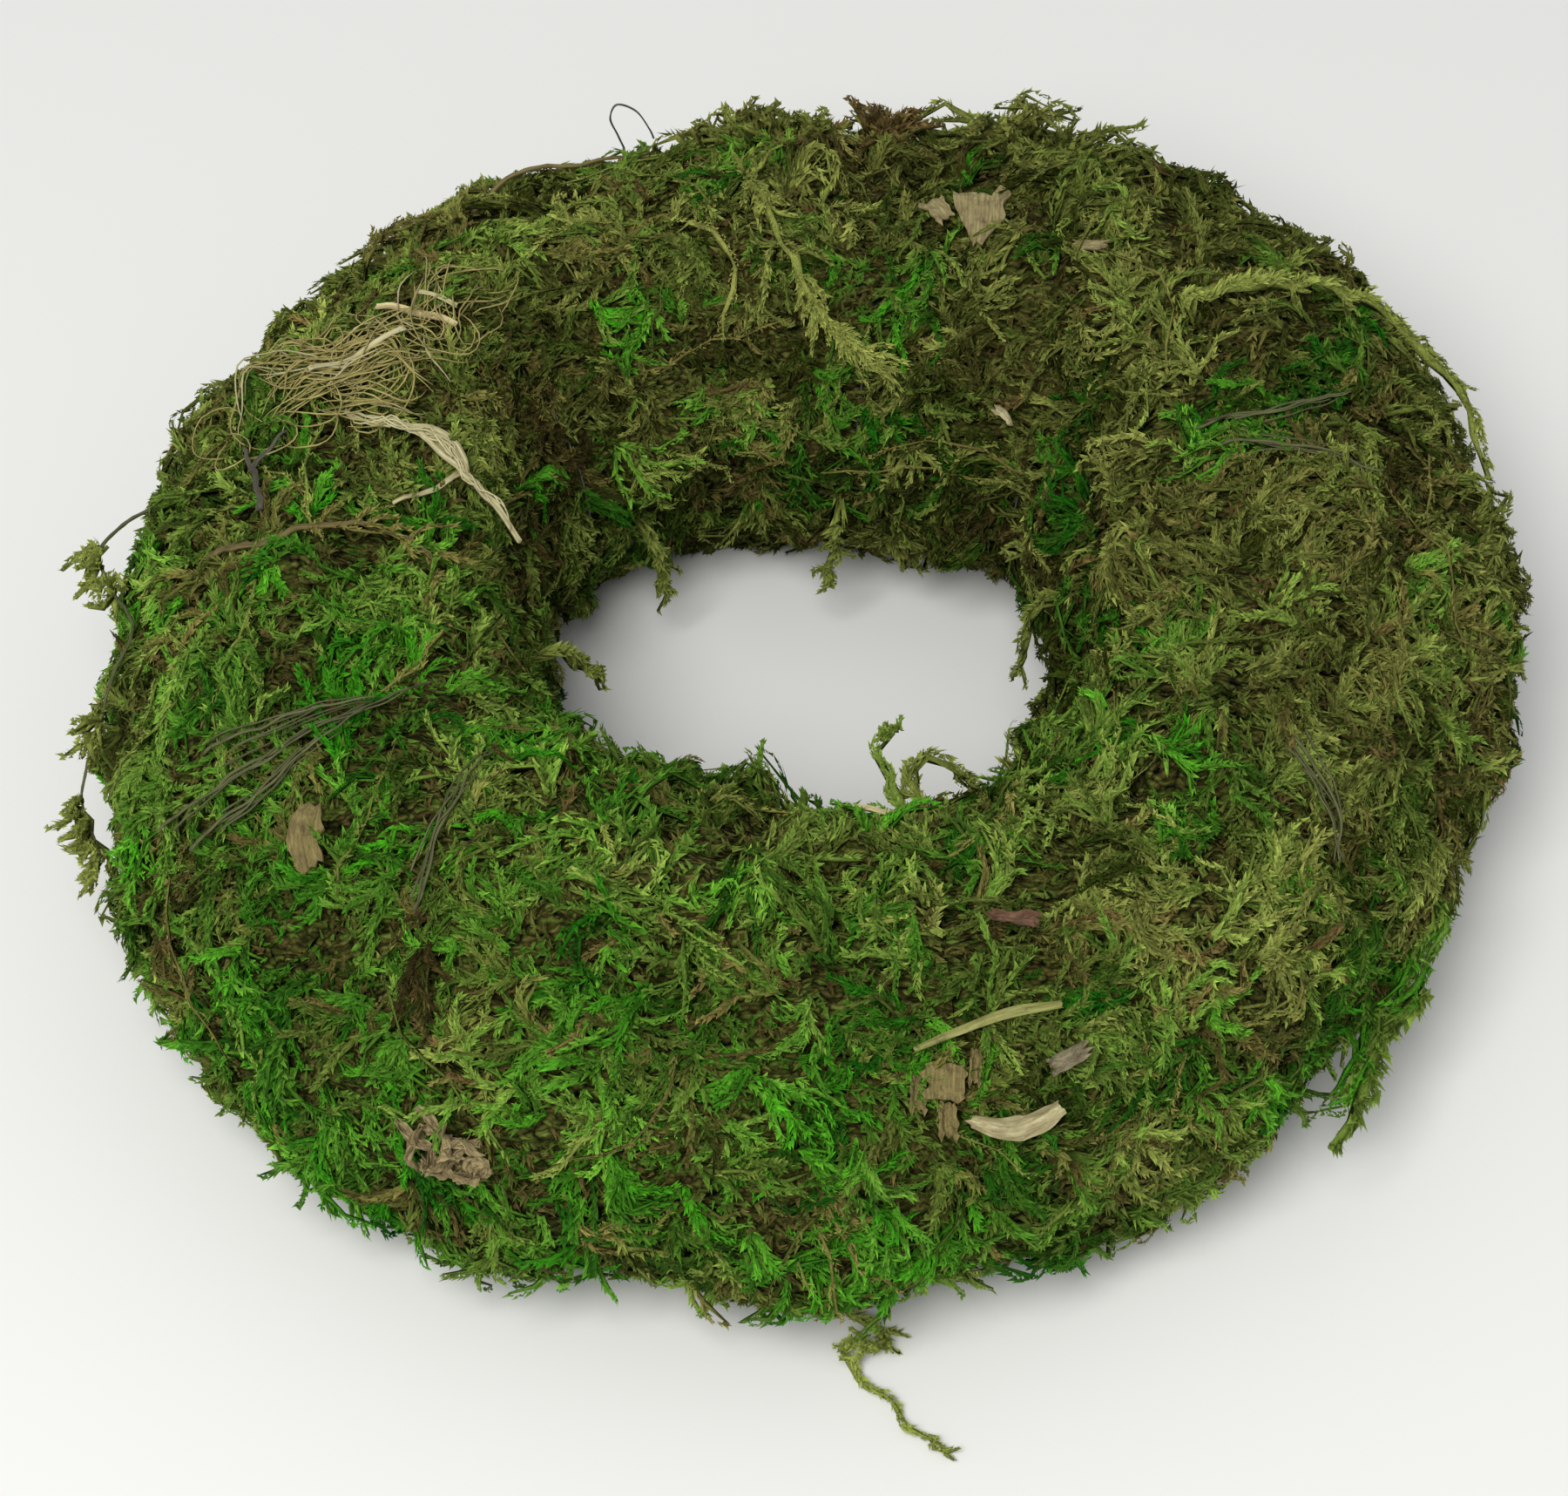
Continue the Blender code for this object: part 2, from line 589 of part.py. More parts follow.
class Ground:
    """What lies on the roll so far, to lay the next piece on."""

    def __init__(self):
        self.trees = []
        self.corners = []

    def add(self, piece):
        self.trees.append(mesh_tree(piece.data))
        self.corners.append([v.co.copy() for v in piece.data.vertices])

    def gap(self, piece):
        """The distance from a piece to the nearest thing on the ground, if that is within reach."""
        points = edge_points(piece.data)
        box = mesh_box(points, SEAT_REACH)
        own = mesh_tree(piece.data)
        nearest = SEAT_REACH
        for tree, corners in zip(self.trees, self.corners):
            close = [corner for corner in corners if is_in(corner, box)]
            if not close:
                continue
            for source, targets in ((tree, points), (own, close)):
                for point in targets:
                    distance = source.find_nearest(point, nearest)[3]
                    if distance is not None:
                        nearest = min(nearest, distance)
        return nearest

    def settle(self, piece, route):
        """Lower a piece on to what is under it, and add it to the ground."""
        ring, section, _ = radians_route(route)[len(route) // 2]
        for _ in range(SEAT_TRIES):
            spare = self.gap(piece) - CLEARANCE
            if spare < SEAT_SLACK:
                break
            for vertex in piece.data.vertices:
                vertex.co -= roll_normal(ring, section) * spare
        self.add(piece)

    def over(self, point):
        """The height of what lies over a point near the table."""
        hits = [tree.ray_cast(point, UP, FEELER_REACH)[0] for tree in self.trees]
        return min(hit.z for hit in hits if hit)

    def top(self, ring, section, radius):
        """How far the highest thing within radius of a place stands over the smooth roll."""
        normal = roll_normal(ring, section)
        along = UP.cross(polar(ring))
        side = along.cross(normal)
        start = AXIS_AT + polar(ring) * roll_reach(ring, section) + UP * max(roll_level(ring, section), 0.0)
        start += normal * FEELER_HEIGHT
        highest = -GROOVE_DEPTH
        for shift in (Vector((0, 0)), Vector((1, 0)), Vector((-1, 0)), Vector((0, 1)), Vector((0, -1))):
            origin = start + (along * shift.x + side * shift.y) * radius
            for tree in self.trees:
                distance = tree.ray_cast(origin, -normal, FEELER_REACH)[3]
                if distance is not None:
                    highest = max(highest, FEELER_HEIGHT - distance)
        return highest


def lay(ground, route, radius, spacing):
    """Points and normals of a route laid on the ground, each high enough for the straight runs beside it."""
    fine = dense(radians_route(route), spacing / 4)
    tops = [ground.top(ring, section, radius + 0.5 * MM) for ring, section, _ in fine]
    picks = list(range(0, len(fine) - 1, 4)) + [len(fine) - 1]
    points, normals = [], []
    for k in picks:
        ring, section, lift = fine[k]
        seat = max(tops[max(k - 4, 0):k + 5]) + CLEARANCE + radius
        points.append(on_roll(ring, section, max(seat, lift)))
        normals.append(roll_normal(ring, section))
    return points, normals


def taper(count, root, tip):
    return [root + (tip - root) * i / (count - 1) for i in range(count)]


def make_strand(name, ground, route, radii, material, spacing=8 * MM):
    points, normals = lay(ground, route, max(radii), spacing)
    result = make_tube(name, points, normals, taper(len(points), *radii), material)
    return result, points, normals


def make_needle(root, direction, normal, length, radius, material):
    """A three-sided needle that ends in a point."""
    along = direction.normalized()
    side = across(along, normal)
    up = side.cross(along)
    bm = bmesh.new()
    low = root - up * radius * 0.5
    spread = side * radius * 0.87
    corners = [bm.verts.new(point) for point in (root + up * radius, low + spread, low - spread)]
    tip = bm.verts.new(root + along * length)
    bm.faces.new(corners)
    for i in range(3):
        bm.faces.new((corners[i], corners[(i + 1) % 3], tip))
    return add_object("needle", bm, material)


def make_sprig(name, ground, route, radii, needles, length, material, spacing=8 * MM, start=0.15):
    """A strand with needles on alternate sides, leaning forward and off the moss."""
    stem, points, normals = make_strand(name, ground, route, radii, material, spacing)
    pieces = []
    for i in range(needles):
        share = start + (1 - start) * (i + 0.5) / needles
        at = share * (len(points) - 1)
        k = min(int(at), len(points) - 2)
        root = points[k].lerp(points[k + 1], at - k)
        normal = normals[k].lerp(normals[k + 1], at - k).normalized()
        tangent = (points[k + 1] - points[k]).normalized()
        side = across(tangent, normal) * (1 if i % 2 else -1)
        direction = tangent * NEEDLE_LEAN[0] + side * NEEDLE_LEAN[1] + normal * NEEDLE_LEAN[2]
        size = length * (1 - NEEDLE_SHORTENING * share)
        pieces.append(make_needle(root, direction, normal, size, max(radii) * 0.6, material))
    return fuse(stem, pieces)


def make_ribbon(name, ground, route, widths, thickness, material, spacing=7 * MM, cup=0.0):
    """A flat strip, four-sided, whose edges turn up by cup. It lies on the ground at its widest."""
    reach = max(widths) / 2
    points, normals = lay(ground, route, reach, spacing)
    points = [point - normal * (reach - thickness) for point, normal in zip(points, normals)]
    bm = bmesh.new()
    loops = []
    for i, (point, normal) in enumerate(zip(points, normals)):
        tangent = points[min(i + 1, len(points) - 1)] - points[max(i - 1, 0)]
        side = across(tangent, normal) * interpolate(widths, i / (len(points) - 1)) / 2
        low, high = point - normal * thickness / 2, point + normal * thickness / 2
        edge = side + normal * cup, normal * cup - side
        outline = (low + edge[0], high + edge[0], high + edge[1], low + edge[1])
        loops.append((low, *outline[:2], high, *outline[2:]) if cup else outline)
    loft(bm, loops, closed=False)
    return add_object(name, bm, material)


def interpolate(values, share):
    at = share * (len(values) - 1)
    k = min(int(at), len(values) - 2)
    return values[k] + (values[k + 1] - values[k]) * (at - k)


def make_tuft(name, ground, place, reach, seed, material):
    """Shoots that stand up together from one root on the outline."""
    rng = random.Random(seed)
    ring, section = place
    route = ((ring - TUFT_ROOT_HALF, section, 0), (ring, section, 0), (ring + TUFT_ROOT_HALF, section, 0))
    root, points, normals = make_strand(name, ground, route, (1.6 * MM, 1.2 * MM), material, 8 * MM)
    pieces = []
    for i in range(TUFT_SHOOTS):
        share = (i + 0.5) / TUFT_SHOOTS
        at = share * (len(points) - 1)
        k = min(int(at), len(points) - 2)
        base = points[k].lerp(points[k + 1], at - k)
        tangent = (points[k + 1] - points[k]).normalized()
        direction = normals[k] + tangent * rng.uniform(-TUFT_FAN, TUFT_FAN)
        direction += across(tangent, normals[k]) * rng.uniform(-TUFT_SPLAY, TUFT_SPLAY)
        pieces.append(
            make_needle(base, direction, tangent, reach * MM * rng.uniform(0.6, 1.0), 0.9 * MM, material)
        )
    return fuse(root, pieces)


def make_dry_grass(ground, material):
    """Bent fibres of dry grass that all pass through one of four hearts, joined where they cross."""
    rng = random.Random(41)
    heart, _, _ = make_strand("dry_grass", ground, GRASS_HEARTS, (1.3 * MM, 1.0 * MM), material, 5 * MM)
    pieces = []
    for i in range(GRASS_FIBRES):
        ring, section, _ = GRASS_HEARTS[i % len(GRASS_HEARTS)]
        heading = rng.uniform(0, TURN)
        spread = rng.uniform(*FIBRE_SPREAD)
        turned = heading + rng.uniform(-FIBRE_BOW, FIBRE_BOW)
        route = (
            (ring - 0.8 * spread * math.cos(heading), section - 2 * spread * math.sin(heading), 0),
            (ring, section, 1.4),
            (ring + 0.8 * spread * math.cos(turned), section + 2 * spread * math.sin(turned), 0.5),
        )
        points, normals = lay(ground, route, FIBRE_LAID_RADIUS, 12 * MM)
        pieces.append(make_tube("fibre", points, normals, [FIBRE_RADIUS] * len(points), material))
    return fuse(heart, pieces)


def make_forked_stalk(ground, material):
    widths = [1.0, 1.6, 3.6, 4.0, 2.6, 2.0, 1.4]
    stalk = make_ribbon("forked_stalk", ground, FORKED_STALK, [w * MM for w in widths], 1.0 * MM, material)
    fork = make_ribbon("fork", ground, STALK_FORK, [1.6 * MM, 1.2 * MM], 0.9 * MM, material)
    return fuse(stalk, [fork])


def make_forked_twig(name, ground, route, forks, radii, material):
    twig, _, _ = make_strand(name, ground, route, radii, material)
    pieces = [make_strand("fork", ground, fork, radii, material)[0] for fork in forks]
    return fuse(twig, pieces)


def make_trailing_strand(ground, material):
    """A curled strand of moss that hangs out from under the roll and lies on the table."""
    flat = [(x * MM, y * MM) for x, y in TRAIL]
    points = [AXIS_AT + Vector((x, y, TRAIL_RADIUS * 0.5 + TRAIL_OFF_TABLE)) for x, y in flat]
    points = [point + UP * rise * MM for point, rise in zip(points, TRAIL_CURL)]
    points[0].z = ground.over(points[0]) - TRAIL_RADIUS - CLEARANCE
    radii = taper(len(points), TRAIL_RADIUS, TRAIL_TIP_RADIUS)
    stem = make_tube("trailing_strand", points, [UP] * len(points), radii, material)
    pieces = []
    for k in range(3, len(points) - 1):
        tangent = (points[k + 1] - points[k]).normalized()
        out = across(tangent, UP) * (1 if k % 2 else -1)
        direction = tangent * TRAIL_NEEDLE_LEAN[0] + out * TRAIL_NEEDLE_LEAN[1] + UP * TRAIL_NEEDLE_LEAN[2]
        pieces.append(make_needle(points[k], direction, UP, *TRAIL_NEEDLE, material))
    return fuse(stem, pieces)


def wire_places():
    """The binding wire's way: up a groove, over the roll, round under it, and across the pad to the next."""
    places = []
    for turn in range(4, PADS + 4):
        for section in [math.radians(degrees) for degrees in range(-30, 301, 30)]:
            places.append((seam(turn, section), section, -WIRE_DEPTH, False))
            if turn == PADS + 3 and section > WIRE_END_AT:
                return places
        low, high = WIRE_UNDER_PAD
        start, end = seam(turn, low), seam(turn + 1, high)
        for share in (0.0, 0.25, 0.5, 0.75, 1.0):
            places.append((start + (end - start) * share, low + (high - low) * share, 0.0, True))
    return places


def wire_seat(ground, places, k):
    """The lift that clears everything between a place of the wire and the two places beside it."""
    ring, section = places[k][:2]
    tops = []
    for neighbour in (places[k - 1], places[k + 1]):
        turned = neighbour[1] - TURN if neighbour[1] > UNDERSIDE else neighbour[1]
        for step in range(9):
            share = step / 8
            beside = ring + (neighbour[0] - ring) * share, section + (turned - section) * share
            tops.append(ground.top(*beside, WIRE_PROBE))
    return max(tops) + CLEARANCE + WIRE_RADIUS


def make_wire(ground, material):
    """The binding wire ends in a small loop that stands off the moss at the back."""
    points, normals = [], []
    places = wire_places()
    for k, (ring, section, lift, laid) in enumerate(places):
        if laid:
            lift = wire_seat(ground, places, k)
        point = on_roll(ring, section, lift)
        point.z = max(point.z, WIRE_OFF_TABLE)
        points.append(point)
        normals.append(roll_normal(ring, section))
    last_ring = places[-1][0]
    for turn, section, lift in WIRE_END_LOOP:
        ring = last_ring + math.radians(turn)
        points.append(on_roll(ring, math.radians(section), lift * MM))
        normals.append(roll_normal(ring, math.radians(section)))
    return make_tube("binding_wire", points, normals, [WIRE_RADIUS] * len(points), material)


def corridor_tree():
    """Points along everything that lies on the moss, which the shoots keep clear of."""
    routes = [
        FORKED_STALK, STALK_FORK, SHORT_STRAW, GRASS_HEARTS, DARK_TWIG, DARK_TWIG_FORK, BROWN_TWIG,
        LEFT_SPRIG, TWIG_ARCH, KNOTTED_STRAND, RIGHT_STRAND, FAN_FLAKE, SIDE_FLAKE, SMALL_FLAKE, STRAW_BIT,
        STRAW_STRIP, FRONT_FLAKE, CREAM_SHAVING, PINK_FLAKE, BROWN_FLAKE, HOLE_STRAW, DEAD_LEAF,
        RED_LEAF_BIT, MOSS_PLUME, THIN_STRAND, *DARK_STEMS_LEFT, DARK_STEM_FRONT, DARK_STEM_RIGHT_1,
        DARK_STEM_RIGHT_2, DARK_STEM_LOW, HOLE_HOOK, HOLE_ARCH, *HOLE_SPRIGS, LOOSE_FLAP,
    ]
    for (ring, section), _ in TOP_TUFTS:
        routes.append(((ring - TUFT_ROOT_HALF, section, 0), (ring + TUFT_ROOT_HALF, section, 0)))
    points = [
        on_roll(ring, section)
        for route in routes
        for ring, section, _ in dense(radians_route(route), CORRIDOR_STEP)
    ]
    wire = wire_places()
    for start, end in zip(wire, wire[1:]):
        for share in (0.0, 0.25, 0.5, 0.75):
            ring = start[0] + (end[0] - start[0]) * share
            if start[3] or end[3]:
                points.append(on_roll(ring, start[1] + (end[1] - start[1]) * share))
    tree = kdtree.KDTree(len(points))
    for i, point in enumerate(points):
        tree.insert(point, i)
    tree.balance()
    return tree


def make_loose_bits(ground, finishes):
    """The straws, twigs, flakes and strands on the moss, each laid over what is there already."""
    straw, tan, cream, pink = (finishes[name] for name in ("straw", "tan_flake", "cream", "pink"))
    dark, brown, leaf, moss = (finishes[name] for name in ("dark_stem", "brown_twig", "dead_leaf", "moss"))

    def flake(name, route, widths, material, thickness=0.8, cup=0.0):
        widths = [width * MM for width in widths]
        piece = make_ribbon(name, ground, route, widths, thickness * MM, material, 6 * MM, cup * MM)
        ground.settle(piece, route)

    def strand(name, route, radii, material):
        ground.settle(make_strand(name, ground, route, [r * MM for r in radii], material)[0], route)

    def sprig(name, route, radii, needles, length, material, start=0.15):
        radii = [r * MM for r in radii]
        piece = make_sprig(name, ground, route, radii, needles, length * MM, material, start=start)
        ground.settle(piece, route)

    ground.settle(make_forked_stalk(ground, straw), FORKED_STALK)
    flake("short_straw", SHORT_STRAW, (1.4, 1.8, 1.2), straw)
    flake("fan_flake", FAN_FLAKE, (2.5, 5.5, 8.5), tan)
    flake("side_flake", SIDE_FLAKE, (5.0, 3.0), tan)
    flake("small_flake", SMALL_FLAKE, (3.0, 2.0), tan)
    flake("straw_bit", STRAW_BIT, (1.8, 1.0), cream)
    flake("front_flake", FRONT_FLAKE, (6.5, 6.0), tan)
    flake("straw_strip", STRAW_STRIP, (1.6, 2.4, 2.4, 1.6), straw)
    flake("cream_shaving", CREAM_SHAVING, (3.0, 4.4, 3.0), cream, cup=0.8)
    flake("pink_flake", PINK_FLAKE, (4.0, 2.8), pink)
    flake("brown_flake", BROWN_FLAKE, (4.0, 6.0, 4.5), tan)
    flake("hole_straw", HOLE_STRAW, (1.6, 2.2, 1.4), straw)
    flake("red_leaf_bit", RED_LEAF_BIT, (2.5, 3.6), pink)
    flake("dead_leaf", DEAD_LEAF, (4.0, 7.0, 7.4, 4.0), leaf, cup=0.9)
    ground.settle(make_dry_grass(ground, straw), GRASS_HEARTS)
    twig = make_forked_twig("dark_twig", ground, DARK_TWIG, (DARK_TWIG_FORK,), (0.8 * MM, 0.6 * MM), dark)
    ground.settle(twig, DARK_TWIG)
    sprig("brown_twig", BROWN_TWIG, (0.8, 0.5), 5, 5.0, brown, 0.3)
    sprig("left_sprig", LEFT_SPRIG, (0.6, 0.9), 10, 8.0, moss)
    strand("twig_arch", TWIG_ARCH, (0.7, 0.5), brown)
    sprig("knotted_strand", KNOTTED_STRAND, (0.9, 0.9), 6, 3.6, moss)
    sprig("right_strand", RIGHT_STRAND, (1.3, 0.8), 10, 5.0, moss)
    sprig("moss_plume", MOSS_PLUME, (0.8, 0.9), 10, 6.0, moss, 0.35)
    strand("thin_strand", THIN_STRAND, (0.8, 0.6), moss)
    for number, route in enumerate(DARK_STEMS_LEFT, 1):
        strand(f"dark_stem_left_{number}", route, (0.6, 0.5), dark)
    strand("dark_stem_front", DARK_STEM_FRONT, (0.6, 0.5), dark)
    strand("dark_stem_right_1", DARK_STEM_RIGHT_1, (0.6, 0.5), dark)
    strand("dark_stem_right_2", DARK_STEM_RIGHT_2, (0.6, 0.5), dark)
    strand("dark_stem_low", DARK_STEM_LOW, (0.6, 0.5), dark)
    sprig("hole_hook", HOLE_HOOK, (1.2, 0.9), 5, 3.6, moss, 0.4)
    sprig("hole_arch", HOLE_ARCH, (1.1, 0.8), 5, 3.4, moss, 0.3)
    for number, route in enumerate(HOLE_SPRIGS, 1):
        sprig(f"hole_sprig_{number}", route, (1.2, 0.8), 3, 4.0, moss, 0.3)
    for number, (place, reach) in enumerate(TOP_TUFTS, 1):
        ground.settle(make_tuft(f"top_tuft_{number}", ground, place, reach, number, moss), ((*place, 0),))
    sprig("loose_flap", LOOSE_FLAP, (2.2, 1.6), 10, 9.0, moss, 0.1)


def main():
    for old in list(bpy.data.objects):
        bpy.data.objects.remove(old)
    finishes = {
        "straw": finish("straw", (0.52, 0.42, 0.18), 0.6),
        "tan_flake": finish("tan_flake", (0.42, 0.28, 0.13), 0.7),
        "cream": finish("cream", (0.72, 0.62, 0.40), 0.6),
        "pink": finish("pink", (0.30, 0.14, 0.10), 0.7),
        "dark_stem": finish("dark_stem", (0.05, 0.045, 0.025), 0.6),
        "brown_twig": finish("brown_twig", (0.13, 0.09, 0.03), 0.75),
        "dead_leaf": finish("dead_leaf", (0.17, 0.09, 0.045), 0.7),
        "moss": finish("moss", (0.075, 0.10, 0.018), 0.85),
        "wire": finish("wire", (0.10, 0.10, 0.09), 0.4),
        "twine": finish("twine", (0.35, 0.27, 0.15), 0.8),
    }
    make_straw_ring(finishes["straw"])
    make_twine(finishes["twine"])
    corridors = corridor_tree()
    ground = Ground()
    for index in range(PADS):
        ground.add(make_pad(index, corridors, finishes["moss"]))
    ground.add(make_wire(ground, finishes["wire"]))
    make_loose_bits(ground, finishes)
    make_trailing_strand(ground, finishes["moss"])


main()
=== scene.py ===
"""A moss wreath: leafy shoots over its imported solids, with dry grass, straws, twigs and strands on it."""

import math
import random

import bmesh
import bpy
import numpy as np
from mathutils import Matrix, Vector, noise
from mathutils.bvhtree import BVHTree
from mathutils.kdtree import KDTree


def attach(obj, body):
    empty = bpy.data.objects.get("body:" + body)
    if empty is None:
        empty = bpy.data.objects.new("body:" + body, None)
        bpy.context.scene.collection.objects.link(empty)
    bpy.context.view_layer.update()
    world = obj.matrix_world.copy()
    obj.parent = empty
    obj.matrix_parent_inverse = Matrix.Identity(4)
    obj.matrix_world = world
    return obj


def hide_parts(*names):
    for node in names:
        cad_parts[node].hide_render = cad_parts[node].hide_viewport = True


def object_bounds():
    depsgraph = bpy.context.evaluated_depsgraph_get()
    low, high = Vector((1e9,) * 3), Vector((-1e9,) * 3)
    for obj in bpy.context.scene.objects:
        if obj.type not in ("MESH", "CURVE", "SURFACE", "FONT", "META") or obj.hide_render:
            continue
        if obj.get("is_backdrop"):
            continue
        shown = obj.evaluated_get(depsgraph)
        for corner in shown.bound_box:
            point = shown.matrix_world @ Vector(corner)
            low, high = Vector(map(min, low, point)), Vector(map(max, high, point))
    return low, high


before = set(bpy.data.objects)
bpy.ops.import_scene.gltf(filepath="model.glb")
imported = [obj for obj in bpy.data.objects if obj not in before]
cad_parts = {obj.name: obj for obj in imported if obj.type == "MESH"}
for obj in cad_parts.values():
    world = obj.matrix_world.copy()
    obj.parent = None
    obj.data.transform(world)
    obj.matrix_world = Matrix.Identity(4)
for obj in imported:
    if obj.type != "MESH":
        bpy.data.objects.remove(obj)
CAD_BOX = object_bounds()

MM = 0.001
TURN = 2 * math.pi
UP = np.array((0.0, 0.0, 1.0))

# The roll of moss, as in the part: ring angles run round the wreath from +X, section angles round the roll
# from its outer side over its top into the hole.
AXIS_AT = np.array((-0.8, 4.5, 0.0)) * MM
CENTRE_RADIUS = 83.5 * MM
ROLL_HALF_WIDTH = 40.0 * MM
ROLL_ASPECT = 0.95
FOOT_SINK = 3.0 * MM
OVAL_WIDTH = 2.0 * MM
OVAL_CENTRE = 1.9 * MM
THREE_SIDED_CENTRE = 1.3 * MM
FOUR_SIDED_CENTRE = 2.4 * MM
FOUR_SIDED_TURN = math.radians(29)
COARSE_RELIEF, COARSE_PITCH = 3.0 * MM, 27 * MM
FINE_RELIEF, FINE_PITCH = 2.4 * MM, 10 * MM
RELIEF_FADES_BELOW = 8 * MM
PADS = 12
SEAM_PHASE = 0.5
SEAM_SLANT = math.radians(3.5)
SEAM_SLANT_STEP = 5 * TURN / PADS

# The camera stands where the photograph was taken from.
CAMERA_AIM = AXIS_AT + np.array((-3.6, -20.0, 37.9)) * MM
CAMERA_DISTANCE = 0.8
CAMERA_ELEVATION = math.radians(50.1)
CAMERA_LENS, CAMERA_FILM = 106.4, 36.0
CAMERA_SEES = (0.05, 20.0)

# The grid on which the height of the moss is felt.
FELT_RINGS, FELT_SECTIONS = 400, 150
FEELER_HEIGHT, FEELER_REACH = 14 * MM, 24 * MM
GROOVE_FILL_BELOW = 0.5 * MM

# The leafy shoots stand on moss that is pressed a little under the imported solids, most of all in the hole.
PRESSED = 1.3 * MM
# Parts of the roll's section, in degrees from the outer side over the top: where each starts, where it is
# whole, and where it ends.
OUTER_FLANK = (-98, -60, 40, 75)
NEAR_RIM = (100, 125, 160, 190)
HOLE_WALL = (118, 150, 230, 262)
# Where the moss is pressed in more, or less: part of the section, ring angle, how far in mm, and how narrow.
PRESSED_MORE = (
    (HOLE_WALL, 165, 3.0, 0), (HOLE_WALL, 165, 1.8, 1), (OUTER_FLANK, 318, 3.2, 6),
    (OUTER_FLANK, 189, 2.4, 16), (OUTER_FLANK, 24, 2.4, 24), (OUTER_FLANK, 353, -3.4, 40),
    (NEAR_RIM, 257, -4.0, 60), (NEAR_RIM, 295, -2.6, 60),
)
CLUMP_HEIGHT, CLUMP_PITCH = 1.5 * MM, 6.5 * MM

# The mat of old moss under the shoots.
MAT_RINGS, MAT_SECTIONS = 16, 104
MAT_DEPTH = 1.6 * MM
MAT_ROUGHNESS, MAT_PITCH = 1.6 * MM, 4 * MM
MAT_LOOK = (0.0, 0.5, 0.1, 0.3)

# Tiny sprigs of loose leaves all over the mat.
LITTER_SPACING = 3.3
LITTER_LENGTH = 4.4
LITTER_LEAVES = 11
LITTER_SHAPES = 8

# The shoots, about 3 mm across their leaves. They grow in tufts.
TUFT_SPACING = 8.1
TUFT_SECTIONS = (-64, 244)
TUFT_SHOOTS = (6, 10)
SHOOT_LENGTHS = (7, 10, 14, 19)
SHAPES_OF_EACH_LENGTH = 5
CORE_RADIUS = 0.4
LEAF_LENGTH, LEAF_WIDTH = 1.6, 0.8
LEAVES_PER_MM = 3.6
# Which side of the stem each leaf leaves, 0 being its top, and where along the shoot the stem and leaves end.
LEAF_SIDES = (-1, 1, -1, 1, 0)
STEM_ENDS, LEAVES_END, TIP_CROWDING = 0.97, 0.94, 1.06
# The height and width of the three-cornered leaf that a circle of radius 1 makes.
CORNERS_HEIGHT, CORNERS_WIDTH = 1.5, math.sqrt(3)
# Painted shade along a stem: its narrow sections are painted darker and its bulging ones lighter.
STEM_SHADES = (0.12, 0.34)
PATH_STEPS = 6
GREENEST = math.radians(235)
# Painted shade: the moss is painted darker down the hole's wall and towards the far right side.
HOLE_PAINTED_SHADE = 0.19
FAR_RIGHT, RIGHT_PAINTED_SHADE = math.radians(35), 0.09
WAVE_SIZE, WAVE_PITCH = 0.55, 8.0
# How many tufts are dyed or old as a whole, how many shoots stand up, and how low one ducks by a loose bit.
DYED_TUFTS, OLD_TUFTS, TALL_SHOOTS, DUCKED = 0.12, 0.14, 0.12, 1.8
# How dyed the moss is: everywhere, towards its greenest side, in the middle of that side, and in patches.
DYE, DYE_TOWARDS, DYE_MIDDLE, DYE_PATCHES = 0.19, 0.24, 0.18, 0.5
# How light it is, and how much that varies from place to place and from shoot to shoot.
LIGHTNESS, LIGHTNESS_PATCHES, LIGHTNESS_VARIES = 0.40, 0.3, 0.11
OLD_SHOOTS, OLD_PATCHES = 0.05, 0.25
RUNNER_COUNT, RUNNER_SHAPES, RUNNER_LENGTH, RUNNER_MARGIN = 130, 6, 30, 0.6
# Each shape that is laid has its grain moved on from that of the one before it.
GRAIN_SHIFT, GRAIN_SHIFTS = 0.037, 97

